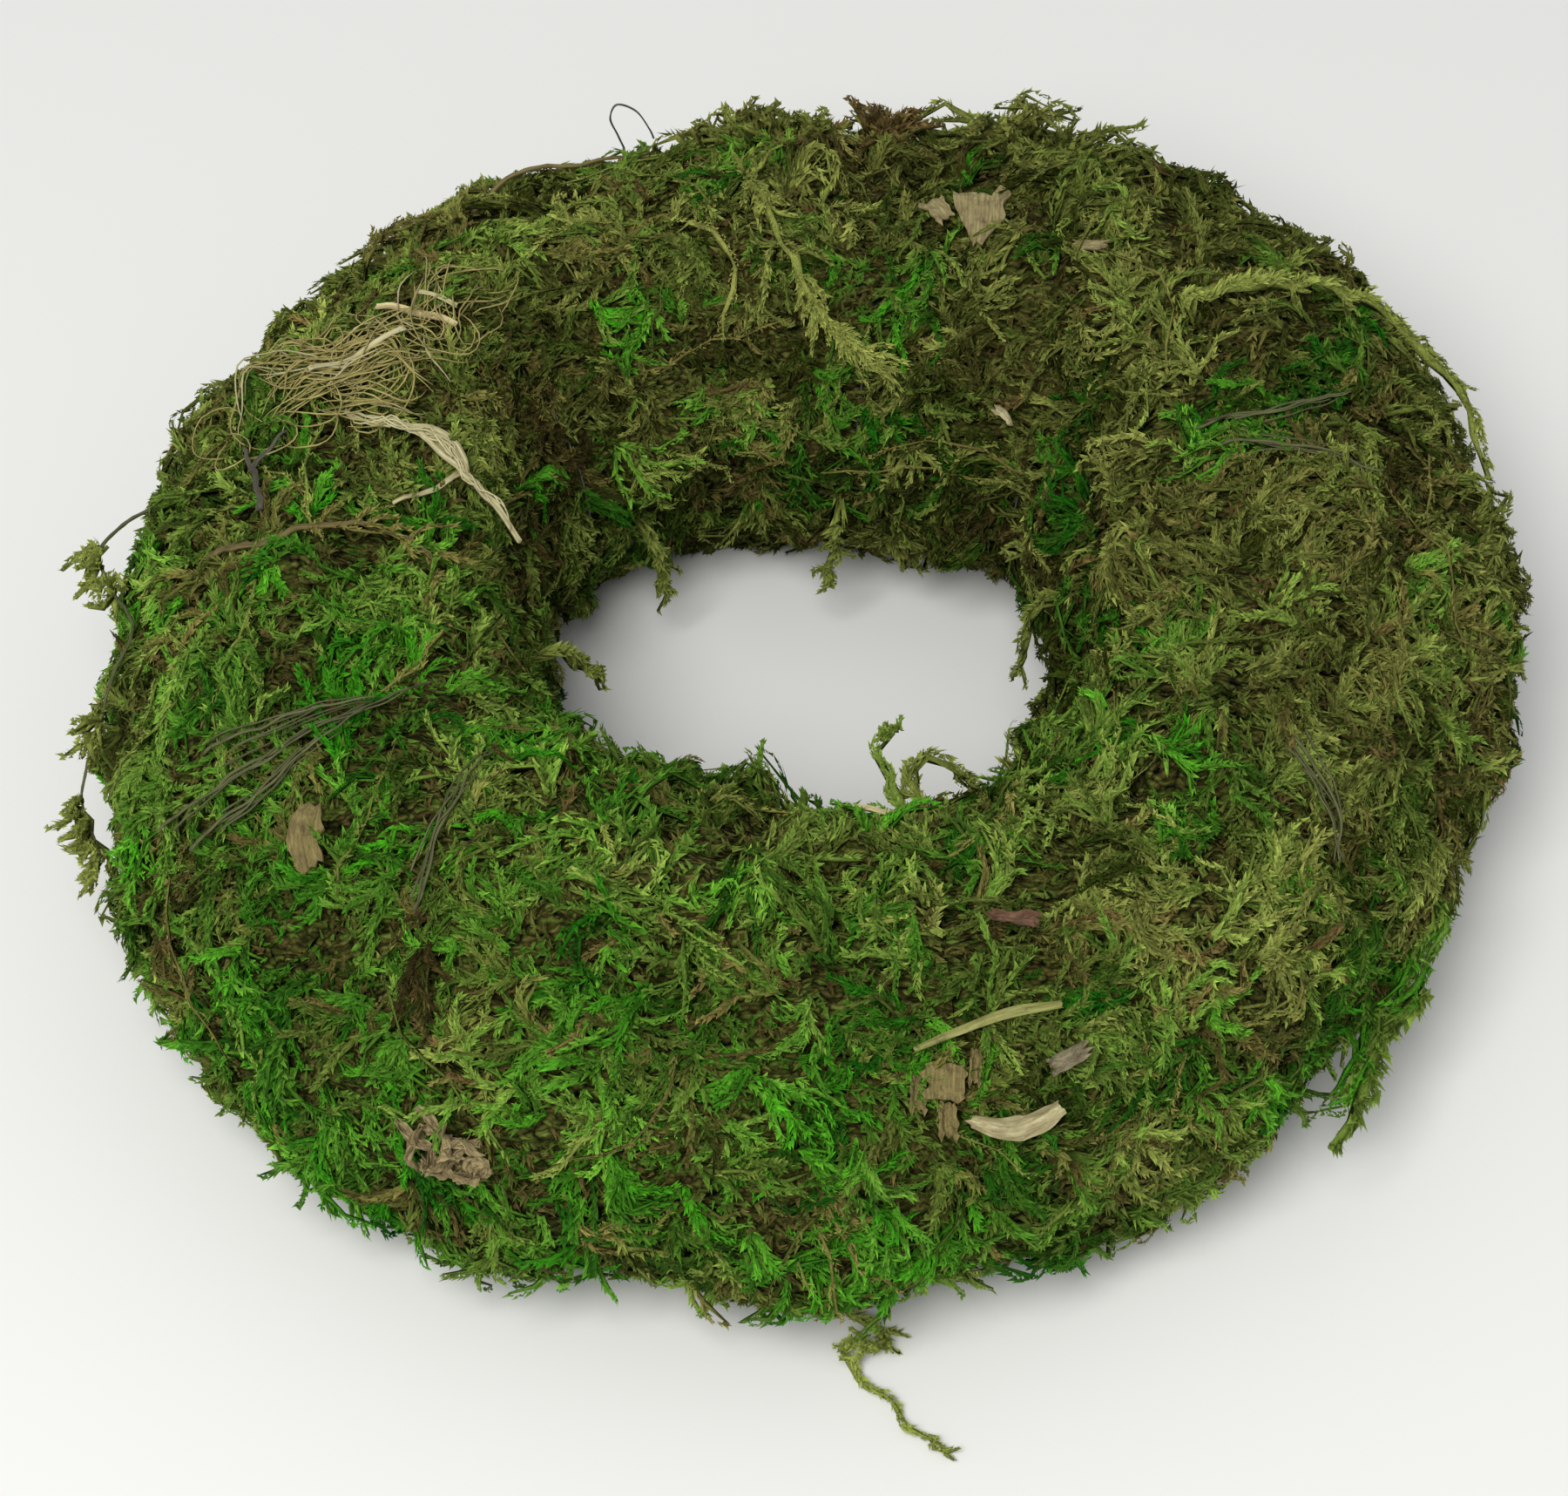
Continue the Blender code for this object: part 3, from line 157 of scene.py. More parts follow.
# Places of bright dyed moss, as ring angle, section angle and radius, in degrees and millimetres.
GREEN_PLACES = (
    (224, 41, 7), (231, 35, 9), (236, 28, 9), (230, 17, 9), (238, 46, 6), (238, 65, 5), (239, 16, 8),
    (233, -14, 7), (227, 23, 7), (246, 77, 4.5), (251, 76, 5), (248, 66, 4), (254, 69, 5), (264, 58, 5),
    (268, 53, 7), (272, 44, 6), (268, 34, 8), (266, 18, 8), (272, 14, 8), (275, -6, 7), (268, -5, 8),
    (250, 22, 8), (256, 14, 9), (259, 28, 8), (278, 72, 5), (280, 64, 6), (284, 71, 4), (277, 49, 5),
    (283, 14, 7), (279, 33, 6), (280, 2, 7), (287, -22, 6), (185, 67, 4), (187, 78, 5), (185, 87, 5),
    (189, 98, 4), (179, 117, 5), (186, 120, 4), (202, 110, 4), (208, 114, 5), (223, 80, 6), (227, 78, 5),
    (212, 89, 4), (117, 112, 5), (116, 122, 5), (95, 64, 5), (101, 71, 4), (94, 75, 4), (21, 151, 5),
    (356, 142, 6), (29, 149, 4), (320, 102, 6), (318, 92, 6), (324, 114, 5), (336, 119, 4), (16, 106, 5),
    (15, 113, 4), (24, 69, 5), (21, 79, 4), (29, 56, 6), (19, 82, 4), (324, 19, 4), (329, -3, 6),
    (318, 7, 5), (324, -5, 6), (312, 0, 6), (328, 21, 4), (93, 178, 5), (98, 169, 5), (80, 159, 5),
    (134, 152, 5), (54, 170, 4), (103, 153, 4), (83, 117, 4), (76, 128, 4), (71, 117, 5), (71, 84, 4),
    (85, 140, 4), (56, 105, 4), (292, 68, 4), (294, 61, 5), (289, 101, 4), (283, 103, 4), (308, 126, 4),
    (60, 10, 9), (110, 5, 8), (140, -8, 7), (20, -12, 8), (172, -12, 7), (270, 172, 7), (300, 182, 6),
    (232, 176, 7), (90, -20, 8), (350, -25, 6), (226, 8, 7), (240, 0, 7), (222, 30, 6),
)
BROWN_PLACES = (
    (244, 48, 4), (279, 37, 5), (9, 81, 5), (0, 89, 4), (54, 88, 4), (49, 90, 4), (46, 96, 4), (126, 126, 4),
    (113, 131, 4), (5, 73, 4), (245, 22, 4), (255, 56, 3), (249, 46, 3), (219, 63, 4), (291, 83, 3),
    (150, 91, 6), (94, 181, 3), (42, 156, 4), (214, 22, 5), (210, 43, 5), (163, 139, 6), (161, 154, 7),
    (143, 132, 5), (139, 153, 6), (284, 49, 6), (70, 20, 5), (120, -5, 6), (30, 5, 4), (277, 43, 4),
    (279, 31, 4), (284, 27, 4), (289, 28, 4), (293, 33, 3),
)
LIGHT_PLACES = (
    (262, 80, 14), (270, 92, 8), (330, 60, 12), (310, 50, 14), (60, 70, 12), (88, 95, 10), (190, 50, 10),
    (340, 95, 10), (150, 60, 8),
)
# Places of painted shade in recesses of the hole wall, where the moss is painted darker: ring angle, section
# angle and radius.
PAINTED_SHADE_PLACES = (
    (143, 132, 7), (139, 153, 8), (133, 168, 8), (163, 139, 8), (161, 154, 9), (110, 113, 4),
    (108, 125, 4),
)
BARE_PLACES = ((281, 47, 2.2), (286.5, 35.5, 2.0))

# Routes of the loose bits: ring angle, section angle and height over the moss.
FORKED_STALK = (
    (161, 86, 0), (162, 95, 0), (160.5, 104, 0), (161, 112, 0), (164.5, 120, 0), (169, 129, 0), (174, 137, 0),
)
STALK_FORK = ((164, 119, 0), (168, 116, 0), (171.5, 113, 0), (176.5, 105, 0))
SHORT_STRAW = ((144, 75, 0), (143, 87, 0), (141.5, 98, 0))
GRASS_HEARTS = ((155, 78, 0), (149, 88, 0), (142, 93, 0), (136, 93, 0))
DARK_TWIG = ((178.5, 75, 0), (173, 71, 0), (167, 63, 0))
DARK_TWIG_FORK = ((171.5, 69, 0), (168.5, 72, 1), (165.5, 74, 1))
BROWN_TWIG = ((181.5, 60, 0), (183, 77, 0), (182.5, 89, 0), (182, 103, 0), (183, 109, 0), (185.5, 116, 0))
LEFT_SPRIG = (
    (168, 33, 0.6), (172, 27, 6.0), (176, 25, 7.5), (181, 29, 4.5), (186, 34, 3.0), (190, 27, 4.5),
    (194, 14, 7.0), (198, 10, 7.5), (202, 6, 5.5),
)
TWIG_ARCH = ((124, 48, 0), (121, 50, 3), (117.5, 52, 5), (114, 52, 4), (109.5, 53, 3), (105.8, 54, 2.5))
KNOTTED_STRAND = ((137, 44, 0), (134.5, 47, 2.5), (133, 47, 4), (131, 48, 4), (129, 49, 3.5), (126.5, 48, 0))
RIGHT_STRAND = (
    (34.5, 100, 0), (33, 87, 0), (32, 73, 0), (31, 58, 0), (29, 44, 1),
    (25, 34, 2.5), (20.5, 30, 3.5), (16, 26, 2.5), (13, 24, 0.5),
)
FAN_FLAKE = ((64.5, 106, 0), (65.5, 100, 0), (67.5, 90, 1.2))
SIDE_FLAKE = ((73.5, 93, 0), (70.5, 99, 0))
SMALL_FLAKE = ((52.5, 101, 0), (49.5, 97, 0))
STRAW_BIT = ((49, 145, 0), (45, 147, 0.6))
STRAW_STRIP = ((279, 55, 0), (283, 58, 0), (287.5, 60, 0), (292.5, 59, 0))
FRONT_SPLINTERS = ((-6.0, -0.8, 3.4), (-2.0, 4.0, 3.0), (2.5, -5.0, 2.2))
FRONT_FLAKE = ((281, 43, 0), (281.5, 51, 0))
CREAM_SHAVING = ((283, 37, 0), (286.5, 34, 0), (290, 37, 0))
PINK_FLAKE = ((290, 46, 0), (293.5, 48, 0))
BROWN_FLAKE = ((217.5, 70, 0), (219.5, 65, 0), (222.5, 60, 0))
HOLE_STRAW = ((275.5, 130, 0), (280, 129, 0), (285, 127, 0))
DEAD_LEAF = ((244, 28, 0), (242.5, 20, 0), (245, 13, 0), (246.5, 5, 0))
RED_LEAF_BIT = ((289.5, 85, 0), (294, 80, 0))
MOSS_PLUME = ((97, 84, 0), (94.5, 99, 0), (91.5, 112, 0), (87, 126, 0), (80.5, 134, 0), (73.5, 139, 0))
THIN_STRAND = ((107.5, 95, 0), (103.5, 97, 0), (101, 106, 0), (101.5, 116, 0), (106, 131, 0))
DARK_STEMS = {
    "dark_stem_left_1": ((209, 38, 0), (210.5, 57, 0), (210.5, 76, 0), (211, 94, 0), (210.5, 110, 0)),
    "dark_stem_left_2": ((213, 43, 0), (213.5, 60, 0), (212.5, 78, 0), (211.8, 92, 0)),
    "dark_stem_left_3": ((206.5, 56, 0), (207.8, 72, 0), (209.5, 86, 0), (211, 96, 0)),
    "dark_stem_front": ((234, 65, 0), (231, 82, 0), (226, 108, 0)),
    "dark_stem_right_1": ((18, 111, 0), (16.5, 92, 0), (18, 71, 0)),
    "dark_stem_right_2": ((13, 105, 0), (10, 85, 0), (8, 66, 0)),
    "dark_stem_low": ((330.5, 74, 0), (328.5, 62, 0), (324, 48, 0)),
}

# Side shoots of the strands: from where to where along them, how many, how long, how far out and up, and
# how thick.
PLUME_SPRAYS = ((0.0, 0.2, 12, (4, 8), 0.8, 0.3, 1.2), (0.5, 1.0, 44, (3.5, 7.5), 0.5, 0.3))
KNOT_SPRAYS = ((0.2, 1.0, 8, (3, 5), 1.0, 0.8),)
RIGHT_SPRAYS = ((0.1, 1.0, 14, (3, 6), 0.6, 0.4),)
HOOK_SPRAYS = ((0.8, 1.0, 6, (2, 4), 0.8, 0.6, 1.3),)
ARCH_SPRAYS = ((0.05, 0.35, 6, (2, 5), 0.8, -0.8, 1.3), (0.6, 1.0, 8, (2, 5), 0.8, -0.8, 1.3))
SPRIG_SPRAYS = ((0.3, 1.0, 5, (3, 5), 0.8, 0.5, 1.2),)
HOLE_HOOK = (
    (285.5, 126, -1), (285.5, 131, 3.5), (284.7, 134, 8), (284.3, 135, 12), (286.3, 136, 15),
    (289.0, 136, 16),
)
HOLE_ARCH = (
    (288.5, 128, -1), (288.8, 134, 5), (290.8, 136, 8.6), (295, 138, 10), (299, 139, 8), (301.6, 138, 4),
    (302.6, 134, -1),
)
HOLE_SPRIGS = (
    ((127, 184, 0), (126, 194, 2.5), (125, 205, 8)),
    ((81, 184, 0), (82, 195, 2), (83, 206, 7)),
    ((190, 160, 0), (186, 172, 2), (182, 180, 7)),
    ((366, 160, 0), (363, 172, 2), (359, 180, 4)),
)
TOP_TUFTS = (((97, 52), 10), ((90, 53), 8), ((81.5, 53), 8), ((68, 54), 13))
BROWN_TUFT = 3
TOP_TUFT_SHOOTS = 24
LOOSE_FLAP = ((335, 6, 0), (330, 0, 1), (325.5, -5, 4), (319, -10, 6.5), (313, -15, 7.5), (309, -18, 5))
FLAP_LEAD_FROM, FLAP_TAIL_FROM = 0.3, 0.6
FLAP_TAIL = np.array(
    ((0, 0, 0), (-0.8, -3.4, 0.4), (-2.8, -7.4, -0.4), (-5.4, -11.2, -1.8), (-8.6, -14.8, -3.8)), float
)
FLAP_SHOOTS, FLAP_SUNK = 26, 2.6 * MM
LEAF_STRIPS = 22
SPLIT_FIBRES = 9
STEMS_BESIDE = 4

# The strand on the table: its bends, in millimetres from the wreath's axis.
TRAIL = (
    (3, -106, 4.0), (9, -113.5, 2.0), (13, -116, 1.2), (11.5, -120, 3.0), (7.5, -118, 2.8),
    (7.0, -121.5, 1.4), (12.5, -127.5, 1.1), (17, -133.5, 1.1), (22.6, -138, 1.0),
)
TRAIL_CUTS = 8
TRAIL_LOOK = (0.08, 0.05, 0.8)

# Shoots that stand off the outline, some at each place: ring angle, section angle and how far out.
FRINGE_SHOOTS, FRINGE_SHARE = 3, 0.75
FRINGE = (
    (228, 134, 8), (238, 133, 10), (245, 135, 10), (249, 136, 9), (254, 136, 11), (258, 135, 9),
    (262, 136, 8), (268, 136, 8), (274, 133, 7), (303, 135, 9), (309, 136, 10), (314, 136, 8),
    (246, -20, 12), (251, -22, 10), (262, -22, 11), (268, -24, 9), (278, -23, 12), (281, -24, 10),
    (230, -16, 12), (234, -18, 11), (207, 2, 9), (212, -3, 9), (312, -12, 12), (319, -8, 11),
    (221, -11, 8), (241, -21, 9), (303, -17, 9), (50, 51, 8), (65, 54, 9), (95, 54, 8), (82, 54, 8),
    (145, 42, 7), (162, 32, 7), (35, 42, 8), (3, 15, 7), (351, 8, 7), (340, 3, 7),
)


def polar(ring):
    """The direction away from the wreath's axis at ring angles."""
    return np.stack([np.cos(ring), np.sin(ring), np.zeros_like(ring)], -1)


def roll_centre(ring):
    return (
        CENTRE_RADIUS
        + OVAL_CENTRE * np.sin(2 * ring)
        + THREE_SIDED_CENTRE * np.sin(3 * ring)
        - FOUR_SIDED_CENTRE * np.cos(4 * ring + FOUR_SIDED_TURN)
    )


def roll_width(ring):
    return ROLL_HALF_WIDTH + OVAL_WIDTH * np.sin(2 * ring)


def roll_reach(ring, section):
    return roll_centre(ring) + roll_width(ring) * np.cos(section)


def roll_level(ring, section):
    return ROLL_ASPECT * roll_width(ring) * (1 + np.sin(section)) - FOOT_SINK


def roll_normal(ring, section):
    out, rise = np.cos(section) * ROLL_ASPECT, np.sin(section)
    size = np.hypot(out, rise)
    return polar(ring) * (out / size)[..., None] + UP * (rise / size)[..., None]


def on_roll(ring, section, lift):
    """Points raised by lift from the roll's smooth surface, never under the table."""
    ring, section, lift = np.broadcast_arrays(*(np.asarray(value, float) for value in (ring, section, lift)))
    level = np.maximum(roll_level(ring, section), 0.0)
    place = AXIS_AT + polar(ring) * roll_reach(ring, section)[..., None] + UP * level[..., None]
    place = place + roll_normal(ring, section) * lift[..., None]
    place[..., 2] = np.maximum(place[..., 2], 0.0)
    return place


def seam(index, section):
    """The ring angle of the joint before pad number index."""
    return TURN * (index + SEAM_PHASE) / PADS + SEAM_SLANT * np.sin(section + SEAM_SLANT_STEP * index)


def relief(place, level):
    """How far the part's moss stands over the smooth roll at a place on it, without its shoots."""
    place = Vector(place)
    lumps = COARSE_RELIEF * noise.noise(place / COARSE_PITCH) + FINE_RELIEF * noise.noise(place / FINE_PITCH)
    return min(max(level, 0.0) / RELIEF_FADES_BELOW, 1.0) * lumps


def node_tree(*names):
    """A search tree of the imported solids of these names."""
    corners, faces = [], []
    for name in names:
        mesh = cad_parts[name].data
        first = len(corners)
        corners.extend(vertex.co.copy() for vertex in mesh.vertices)
        faces.extend([first + k for k in polygon.vertices] for polygon in mesh.polygons)
    return BVHTree.FromPolygons(corners, faces)


def soften(field):
    """A field that closes on itself both ways, smoothed a little."""
    for axis in (0, 1):
        field = 0.25 * np.roll(field, 1, axis) + 0.5 * field + 0.25 * np.roll(field, -1, axis)
    return field


def feel_moss():
    """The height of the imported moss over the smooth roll, with the grooves at its seams filled."""
    tree = node_tree(*(f"moss_pad_{index + 1:02d}" for index in range(PADS)))
    rings = TURN * np.arange(FELT_RINGS) / FELT_RINGS
    sections = TURN * np.arange(FELT_SECTIONS) / FELT_SECTIONS
    heights = np.zeros((FELT_RINGS, FELT_SECTIONS))
    for i, ring in enumerate(rings):
        starts = on_roll(ring, sections, 0.0)
        levels = roll_level(ring, sections)
        normals = roll_normal(np.full_like(sections, ring), sections)
        for j in range(FELT_SECTIONS):
            normal = Vector(normals[j])
            distance = tree.ray_cast(Vector(starts[j]) + normal * FEELER_HEIGHT, -normal, FEELER_REACH)[3]
            found = FEELER_HEIGHT - distance if distance is not None else 0.0
            heights[i, j] = max(found, relief(starts[j], levels[j]) - GROOVE_FILL_BELOW)
        pressed = PRESSED
        for part, degrees, size, narrow in PRESSED_MORE:
            within = np.interp((np.degrees(sections) - part[0]) % 360 + part[0], part, (0.0, 1.0, 1.0, 0.0))
            near = max(math.cos(ring - math.radians(degrees)), 0.0) ** narrow
            pressed = pressed + within * size * MM * near
        heights[i] -= pressed * np.clip(levels / RELIEF_FADES_BELOW, 0.0, 1.0)
    return soften(soften(heights))


HEIGHTS = feel_moss()


def lift_at(ring, section):
    """The height of the moss over the smooth roll at any place."""
    at_ring = np.asarray(ring, float) / TURN * FELT_RINGS
    at_section = np.asarray(section, float) / TURN * FELT_SECTIONS
    i, j = np.floor(at_ring).astype(int), np.floor(at_section).astype(int)
    f, g = at_ring - i, at_section - j
    i, j, k, m = i % FELT_RINGS, j % FELT_SECTIONS, (i + 1) % FELT_RINGS, (j + 1) % FELT_SECTIONS
    near = HEIGHTS[i, j] * (1 - g) + HEIGHTS[i, m] * g
    far = HEIGHTS[k, j] * (1 - g) + HEIGHTS[k, m] * g
    return near * (1 - f) + far * f


def clump(place):
    """How far the moss swells or sinks in clumps about a place, from -1 to 1."""
    return noise.noise(Vector(place) / CLUMP_PITCH)


# The kinds of places: how much wider each is made than it is named, and how wide its soft edge is.
KINDS = (
    (GREEN_PLACES, 1.5, 3.5),
    (BROWN_PLACES, 1.0, 3.0),
    (LIGHT_PLACES, 1.0, 8.0),
    (PAINTED_SHADE_PLACES, 1.0, 6.0),
    (BARE_PLACES, 1.0, 1.5),
)
BARE = 4
PLACES = np.array([
    (ring, section, radius * spread, kind, edge)
    for kind, (places, spread, edge) in enumerate(KINDS)
    for ring, section, radius in places
])


def marks(ring, section):
    """From 0 to 1, how green, brown, light, painted with shade and bare the named places make the moss at a
    place.
    """
    wander = 2.5 * noise.noise(Vector(on_roll(ring, section, 0.0)) / (5 * MM))
    turn = (math.degrees(ring) - PLACES[:, 0] + 180) % 360 - 180
    across = np.radians(turn) * float(roll_reach(ring, section)) / MM
    along = np.radians(math.degrees(section) - PLACES[:, 1]) * ROLL_HALF_WIDTH / MM
    inside = np.clip((PLACES[:, 2] + wander - np.hypot(across, along)) / PLACES[:, 4], 0.0, 1.0)
    return [float(inside[PLACES[:, 3] == kind].max()) for kind in range(len(KINDS))]


# Shapes that are grown many times over.


class Shape:
    """A finished bmesh as arrays: its points, its triangles, and each point's tone with painted shade: a leaf
    is painted lighter at its tip than at its root, and each leaf's tone differs at random.
    """

    def __init__(self, bm, length):
        bmesh.ops.triangulate(bm, faces=bm.faces)
        bm.verts.index_update()
        tip = bm.verts.layers.float["tip"]
        self.straight = np.array([vertex.co for vertex in bm.verts])
        self.points = self.straight / (length, 1.0, 1.0)
        self.faces = np.array([[vertex.index for vertex in face.verts] for face in bm.faces])
        self.tones_and_painted_shade = np.array([vertex[tip] for vertex in bm.verts])
        bm.free()


def new_shape():
    bm = bmesh.new()
    # The layer tip holds painted shade: how light a point is painted, lighter towards a leaf's tip.
    bm.verts.layers.float.new("tip")
    return bm


def interpolate(values, share):
    at = min(max(share, 0.0), 1.0) * (len(values) - 1)
    k = min(int(at), len(values) - 2)
    return values[k] + (values[k + 1] - values[k]) * (at - k)


def add_rod(bm, length, sides, parts, radii, bumps=0.0, twist=0.0):
    """A closed rod along +X whose radius runs through radii, with bumps on every other section."""
    lying = Matrix.Translation((length / 2, 0, 0)) @ Matrix.Rotation(TURN / 4, 4, "Y")
    bmesh.ops.create_cone(bm, cap_ends=True, segments=sides, radius1=1, radius2=1, depth=length, matrix=lying)
    lengthwise = [edge for edge in bm.edges if abs(edge.verts[0].co.x - edge.verts[1].co.x) > length / 2]
    bmesh.ops.subdivide_edges(bm, edges=lengthwise, cuts=parts - 1, use_grid_fill=True)
    tip = bm.verts.layers.float["tip"]
    for vertex in bm.verts:
        share = vertex.co.x / length
        part = round(share * parts)
        radius = interpolate(radii, share) * (1 + bumps * (part % 2 - 0.5))
        turn = Matrix.Rotation(twist * part, 3, "X")
        vertex.co = turn @ Vector((vertex.co.x, vertex.co.y * radius, vertex.co.z * radius))
        # Painted shade: each narrow section of the rod is painted darker and each bulging one lighter.
        vertex[tip] = STEM_SHADES[part % 2]


def add_leaf(bm, root, yaw, pitch, roll, length, width, shade):
    """A pointed leaf that leaves the stem sideways by yaw and upwards by pitch."""
    place = (
        Matrix.Translation(root)
        @ Matrix.Rotation(yaw, 4, "Z")
        @ Matrix.Rotation(-pitch, 4, "Y")
        @ Matrix.Rotation(roll, 4, "X")
        @ Matrix.Rotation(-TURN / 4, 4, "Z")
        @ Matrix.Diagonal((width / CORNERS_WIDTH, length / CORNERS_HEIGHT, 1.0, 1.0))
        @ Matrix.Translation((0.0, 0.5, 0.0))
    )
    ends = bmesh.ops.create_circle(bm, cap_ends=True, segments=3, radius=1.0, matrix=place)["verts"]
    tip = bm.verts.layers.float["tip"]
    # Painted shade: the leaf's root corners are painted at 0.3 of the shade of its tip.
    furthest = max(ends, key=lambda vertex: (vertex.co - root).length)
    for vertex in ends:
        vertex[tip] = shade if vertex is furthest else 0.3 * shade


def shoot_shape(length, seed, core=CORE_RADIUS, leaf=LEAF_LENGTH, density=LEAVES_PER_MM):
    """A wavy shoot along +X: a stem under leaves that overlap like a braid, with a blunt leafy tip."""
    rng = random.Random(seed)
    bm = new_shape()
    radii = (core, core * 1.1, core, core * 0.5)
    add_rod(bm, length * STEM_ENDS, 3, max(2, round(length / 5)), radii, 0.3, 0.5)
    count = round(length * density)
    for i in range(count):
        share = min((i + rng.random()) / count * TIP_CROWDING, 1.0)
        side = LEAF_SIDES[i % len(LEAF_SIDES)]
        yaw = side * rng.uniform(0.2, 0.85) * (1 - 0.5 * share**3) + rng.uniform(-0.3, 0.3)
        pitch = rng.uniform(-0.1, 0.6) + (0.35 if side == 0 else 0.0)
        root = Vector((share * length * LEAVES_END, side * core * 0.5, core * rng.uniform(0.0, 1.0)))
        size = leaf * (1 - 0.3 * share) * rng.uniform(0.6, 1.2)
        width = LEAF_WIDTH * size / LEAF_LENGTH * rng.uniform(0.8, 1.3)
        add_leaf(bm, root, yaw, pitch, rng.uniform(-1.1, 1.1), size, width, rng.uniform(0.4, 1.0))
    phases = rng.uniform(0, TURN), rng.uniform(0, TURN)
    for vertex in bm.verts:
        run = vertex.co.x / WAVE_PITCH * TURN
        vertex.co.y += WAVE_SIZE * math.sin(run + phases[0])
        vertex.co.z += 0.6 * WAVE_SIZE * math.sin(1.3 * run + phases[1])
    return Shape(bm, length)


def rod_shape(length, sides, parts, radii, bumps=0.0, twist=0.0):
    bm = new_shape()
    add_rod(bm, length, sides, parts, radii, bumps, twist)
    return Shape(bm, length)


def flake_shape(length, widths, thickness, cup, seed, ragged=0.6, crumple=0.0, cells=(16, 6)):
    """A thin flake along +X with torn ends. Its edges turn up by cup."""
    bm = new_shape()
    bmesh.ops.create_grid(bm, x_segments=cells[0], y_segments=cells[1], size=0.5)
    for vertex in bm.verts:
        share, side = vertex.co.x + 0.5, vertex.co.y * 2
        torn = abs(2 * share - 1) ** 4 * ragged * 0.34 * min(length, 2.5 * max(widths))
        out = torn * noise.noise(Vector((side * 2.1, seed, round(share)))) * (1 if share > 0.5 else -1)
        edge = 1 + 0.42 * ragged * noise.noise(Vector((share * 3.6, seed, round(side + 0.5))))
        fold = crumple * noise.noise(Vector((share * 3.4, side * 1.9, seed)))
        fold += 0.5 * crumple * noise.noise(Vector((share * 8, side * 4, seed + 9)))
        wide = interpolate(widths, share) / 2
        vertex.co = Vector((share * length + out, side * wide * edge, cup * side * side + fold))
    bmesh.ops.solidify(bm, geom=bm.faces[:], thickness=thickness)
    bmesh.ops.recalc_face_normals(bm, faces=bm.faces)
    return Shape(bm, length)


def litter_shape(seed):
    """A tiny flat sprig of loose leaves."""
    rng = random.Random(seed)
    bm = new_shape()
    for _ in range(LITTER_LEAVES):
        root = Vector((rng.uniform(0, LITTER_LENGTH), rng.uniform(-1.1, 1.1), rng.uniform(0, 0.6)))
        size = rng.uniform(1.3, 2.3)
        yaw, pitch, roll = rng.uniform(-1.2, 1.2), rng.uniform(0, 0.9), rng.uniform(-0.8, 0.8)
        add_leaf(bm, root, yaw, pitch, roll, size, size * 0.42, 0.6)
    return Shape(bm, LITTER_LENGTH)


SHOOTS = {
    length: [shoot_shape(length, 31 * length + k) for k in range(SHAPES_OF_EACH_LENGTH)]
    for length in SHOOT_LENGTHS
}
LITTER = [litter_shape(500 + k) for k in range(LITTER_SHAPES)]
RUNNERS = [
    shoot_shape(RUNNER_LENGTH, 900 + k, core=0.28, leaf=1.15, density=2.2) for k in range(RUNNER_SHAPES)
]


def unit(vectors):
    return vectors / np.maximum(np.linalg.norm(vectors, axis=-1, keepdims=True), 1e-12)


def sideways(path, normals):
    """The direction across a path, level with the moss, at each of its points."""
    return unit(np.cross(normals, np.gradient(path, axis=0)))


def bend(points, path, normals, twist=0.0):
    """Carries points of a shape along +X on to a path: its y goes sideways and its z up, in metres."""
    at = points[:, 0] * (len(path) - 1)
    i = np.clip(at.astype(int), 0, len(path) - 2)
    f = (at - i)[:, None]
    tangents = unit(np.gradient(path, axis=0))
    sides = unit(np.cross(normals, tangents))
    ups = np.cross(tangents, sides)
    if twist:
        c, s = math.cos(twist), math.sin(twist)
        sides, ups = sides * c + ups * s, ups * c - sides * s
    g = np.clip(f, 0.0, 1.0)
    side = sides[i] * (1 - g) + sides[i + 1] * g
    up = ups[i] * (1 - g) + ups[i + 1] * g
    return path[i] * (1 - f) + path[i + 1] * f + side * points[:, 1:2] + up * points[:, 2:3]


